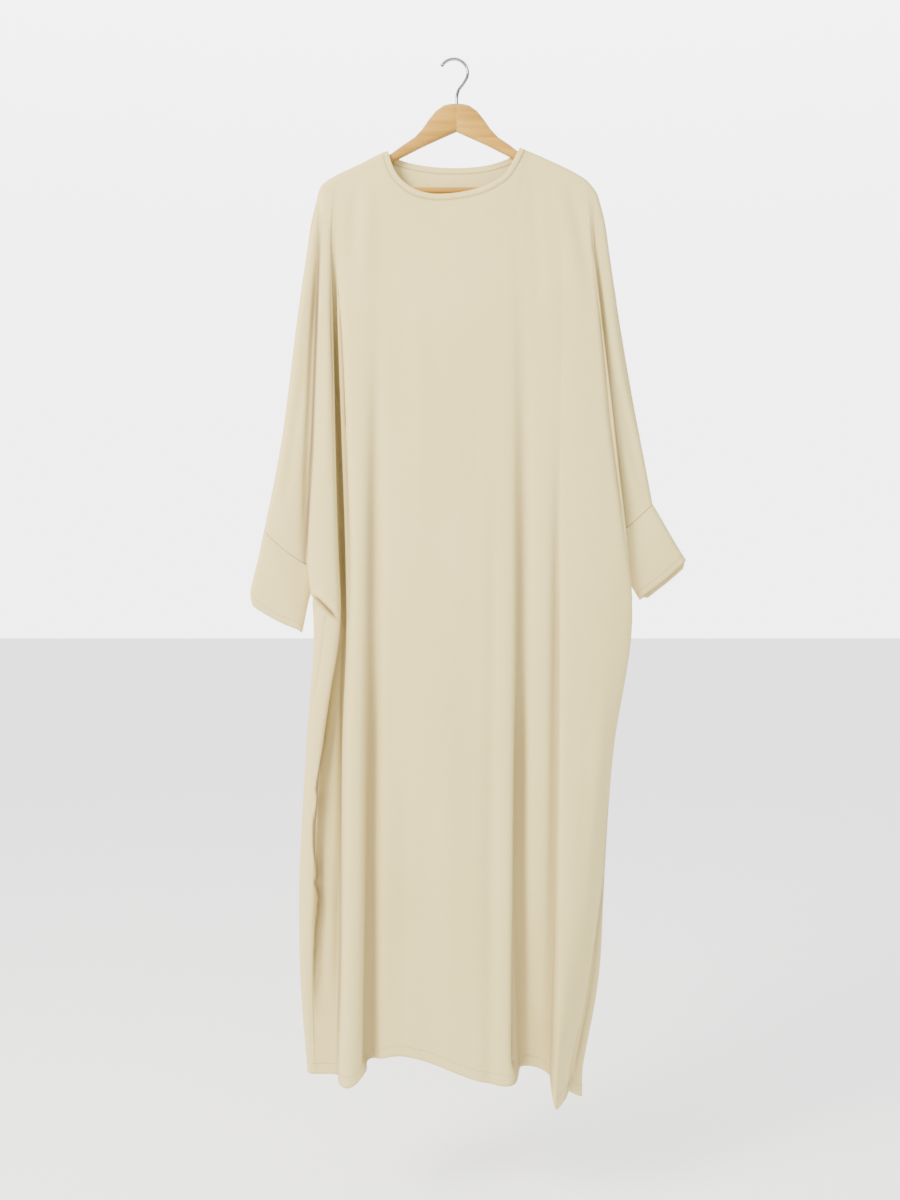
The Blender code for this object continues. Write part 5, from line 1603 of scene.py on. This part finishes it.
class ABAYA_OT_stage(bpy.types.Operator):
    """Set the pale floor, the soft lights and the camera"""

    bl_idname = "abaya.stage"
    bl_label = "Stage"

    def execute(self, context):
        look = context.scene.abaya_stage
        reach = FLOOR_REACH / MM
        corners = [(x, y, look.floor / MM)
                   for x, y in ((-reach, -reach), (reach, -reach), (reach, reach), (-reach, reach))]
        floor = new_mesh("floor", corners, [(0, 1, 2, 3)])
        floor.data.materials.append(matte_stage("pale_floor", (0.88, 0.88, 0.87, 1)))
        self.room(look)
        self.light("key_light", look.key, **KEY_LIGHT)
        self.light("fill_light", look.fill, **FILL_LIGHT)
        camera = placed("camera", bpy.data.cameras.new("camera"))
        camera.data.sensor_width = SENSOR_MM
        camera.data.lens = SENSOR_MM * look.distance / VIEW_HEIGHT
        camera.data.clip_end = 100.0
        camera.location = (VIEW_X * MM, -look.distance, VIEW_Z * MM)
        camera.rotation_euler = (math.pi / 2, 0, 0)
        context.scene.camera = camera
        return {"FINISHED"}

    def room(self, look):
        """A pale room, brighter behind the garment than in front of it."""
        world = bpy.data.worlds.new("room")
        world.use_nodes = True
        room = Nodes(world.node_tree)
        way = room.node("ShaderNodeTexCoord").outputs["Generated"]
        parts = room.node("ShaderNodeSeparateXYZ", {"Vector": way}).outputs
        shares = []
        for axis, low, high, least, most in (("Y", 0.35, 0.84, look.room_front, look.room_behind),
                                             ("Z", 0.12, 0.75, 0.0, look.room_above)):
            share = room.node("ShaderNodeMapRange", {
                "Value": parts[axis], "From Min": low, "From Max": high, "To Min": least,
                "To Max": most}, interpolation_type="SMOOTHSTEP")
            shares.append(share.outputs["Result"])
        total = room.node("ShaderNodeMath", {0: shares[0], 1: shares[1]}).outputs["Value"]
        back = room.nodes["Background"]
        room.put(back.inputs["Color"], (0.985, 0.99, 1.0, 1))
        room.put(back.inputs["Strength"], total)
        bpy.context.scene.world = world

    def light(self, name, power, place, target, size, colour):
        """A soft disk of light that points at its target and isn't seen itself."""
        data = bpy.data.lights.new(name, "AREA")
        data.shape = "DISK"
        data.size = size
        data.energy = power
        data.color = colour
        lamp = placed(name, data)
        lamp.location = place
        lamp.visible_camera = False
        way = np.array(target) - np.array(place)
        way = way / np.linalg.norm(way)
        lamp.rotation_euler = (math.acos(-way[2]), 0, math.atan2(way[1], way[0]) - math.pi / 2)


class ABAYA_PT_pieces(bpy.types.Panel):
    """Lists the pieces and their sizes"""

    bl_idname = "ABAYA_PT_pieces"
    bl_label = "Abaya"
    bl_space_type = "VIEW_3D"
    bl_region_type = "UI"
    bl_category = "Abaya"

    def draw(self, context):
        layout = self.layout
        for title in GROUPS:
            group = getattr(context.scene, title)
            box = layout.box()
            for name in group.__annotations__:
                box.prop(group, name)
        for operator in PIECES:
            layout.operator(operator.bl_idname)


PIECES = (ABAYA_OT_hanger, ABAYA_OT_back_panel, ABAYA_OT_front_panel, ABAYA_OT_cuffs,
          ABAYA_OT_neck_band, ABAYA_OT_stitches, ABAYA_OT_declare, ABAYA_OT_stage)
GROUPS = {"abaya_cloth": AbayaCloth, "abaya_stitch": AbayaStitch, "abaya_hanger": AbayaHanger,
          "abaya_stage": AbayaStage}


def register():
    for group in GROUPS.values():
        bpy.utils.register_class(group)
    for name, group in GROUPS.items():
        setattr(bpy.types.Scene, name, bpy.props.PointerProperty(type=group))
    for piece in PIECES + (ABAYA_PT_pieces,):
        bpy.utils.register_class(piece)


def unregister():
    for piece in (ABAYA_PT_pieces,) + PIECES[::-1]:
        bpy.utils.unregister_class(piece)
    for name in GROUPS:
        delattr(bpy.types.Scene, name)
    for group in GROUPS.values():
        bpy.utils.unregister_class(group)


def main():
    register()
    bpy.ops.abaya.hanger()
    bpy.ops.abaya.back_panel()
    bpy.ops.abaya.front_panel()
    bpy.ops.abaya.cuffs()
    bpy.ops.abaya.neck_band()
    bpy.ops.abaya.stitches()
    bpy.ops.abaya.declare()
    bpy.ops.abaya.stage()


if __name__ == "__main__":
    main()
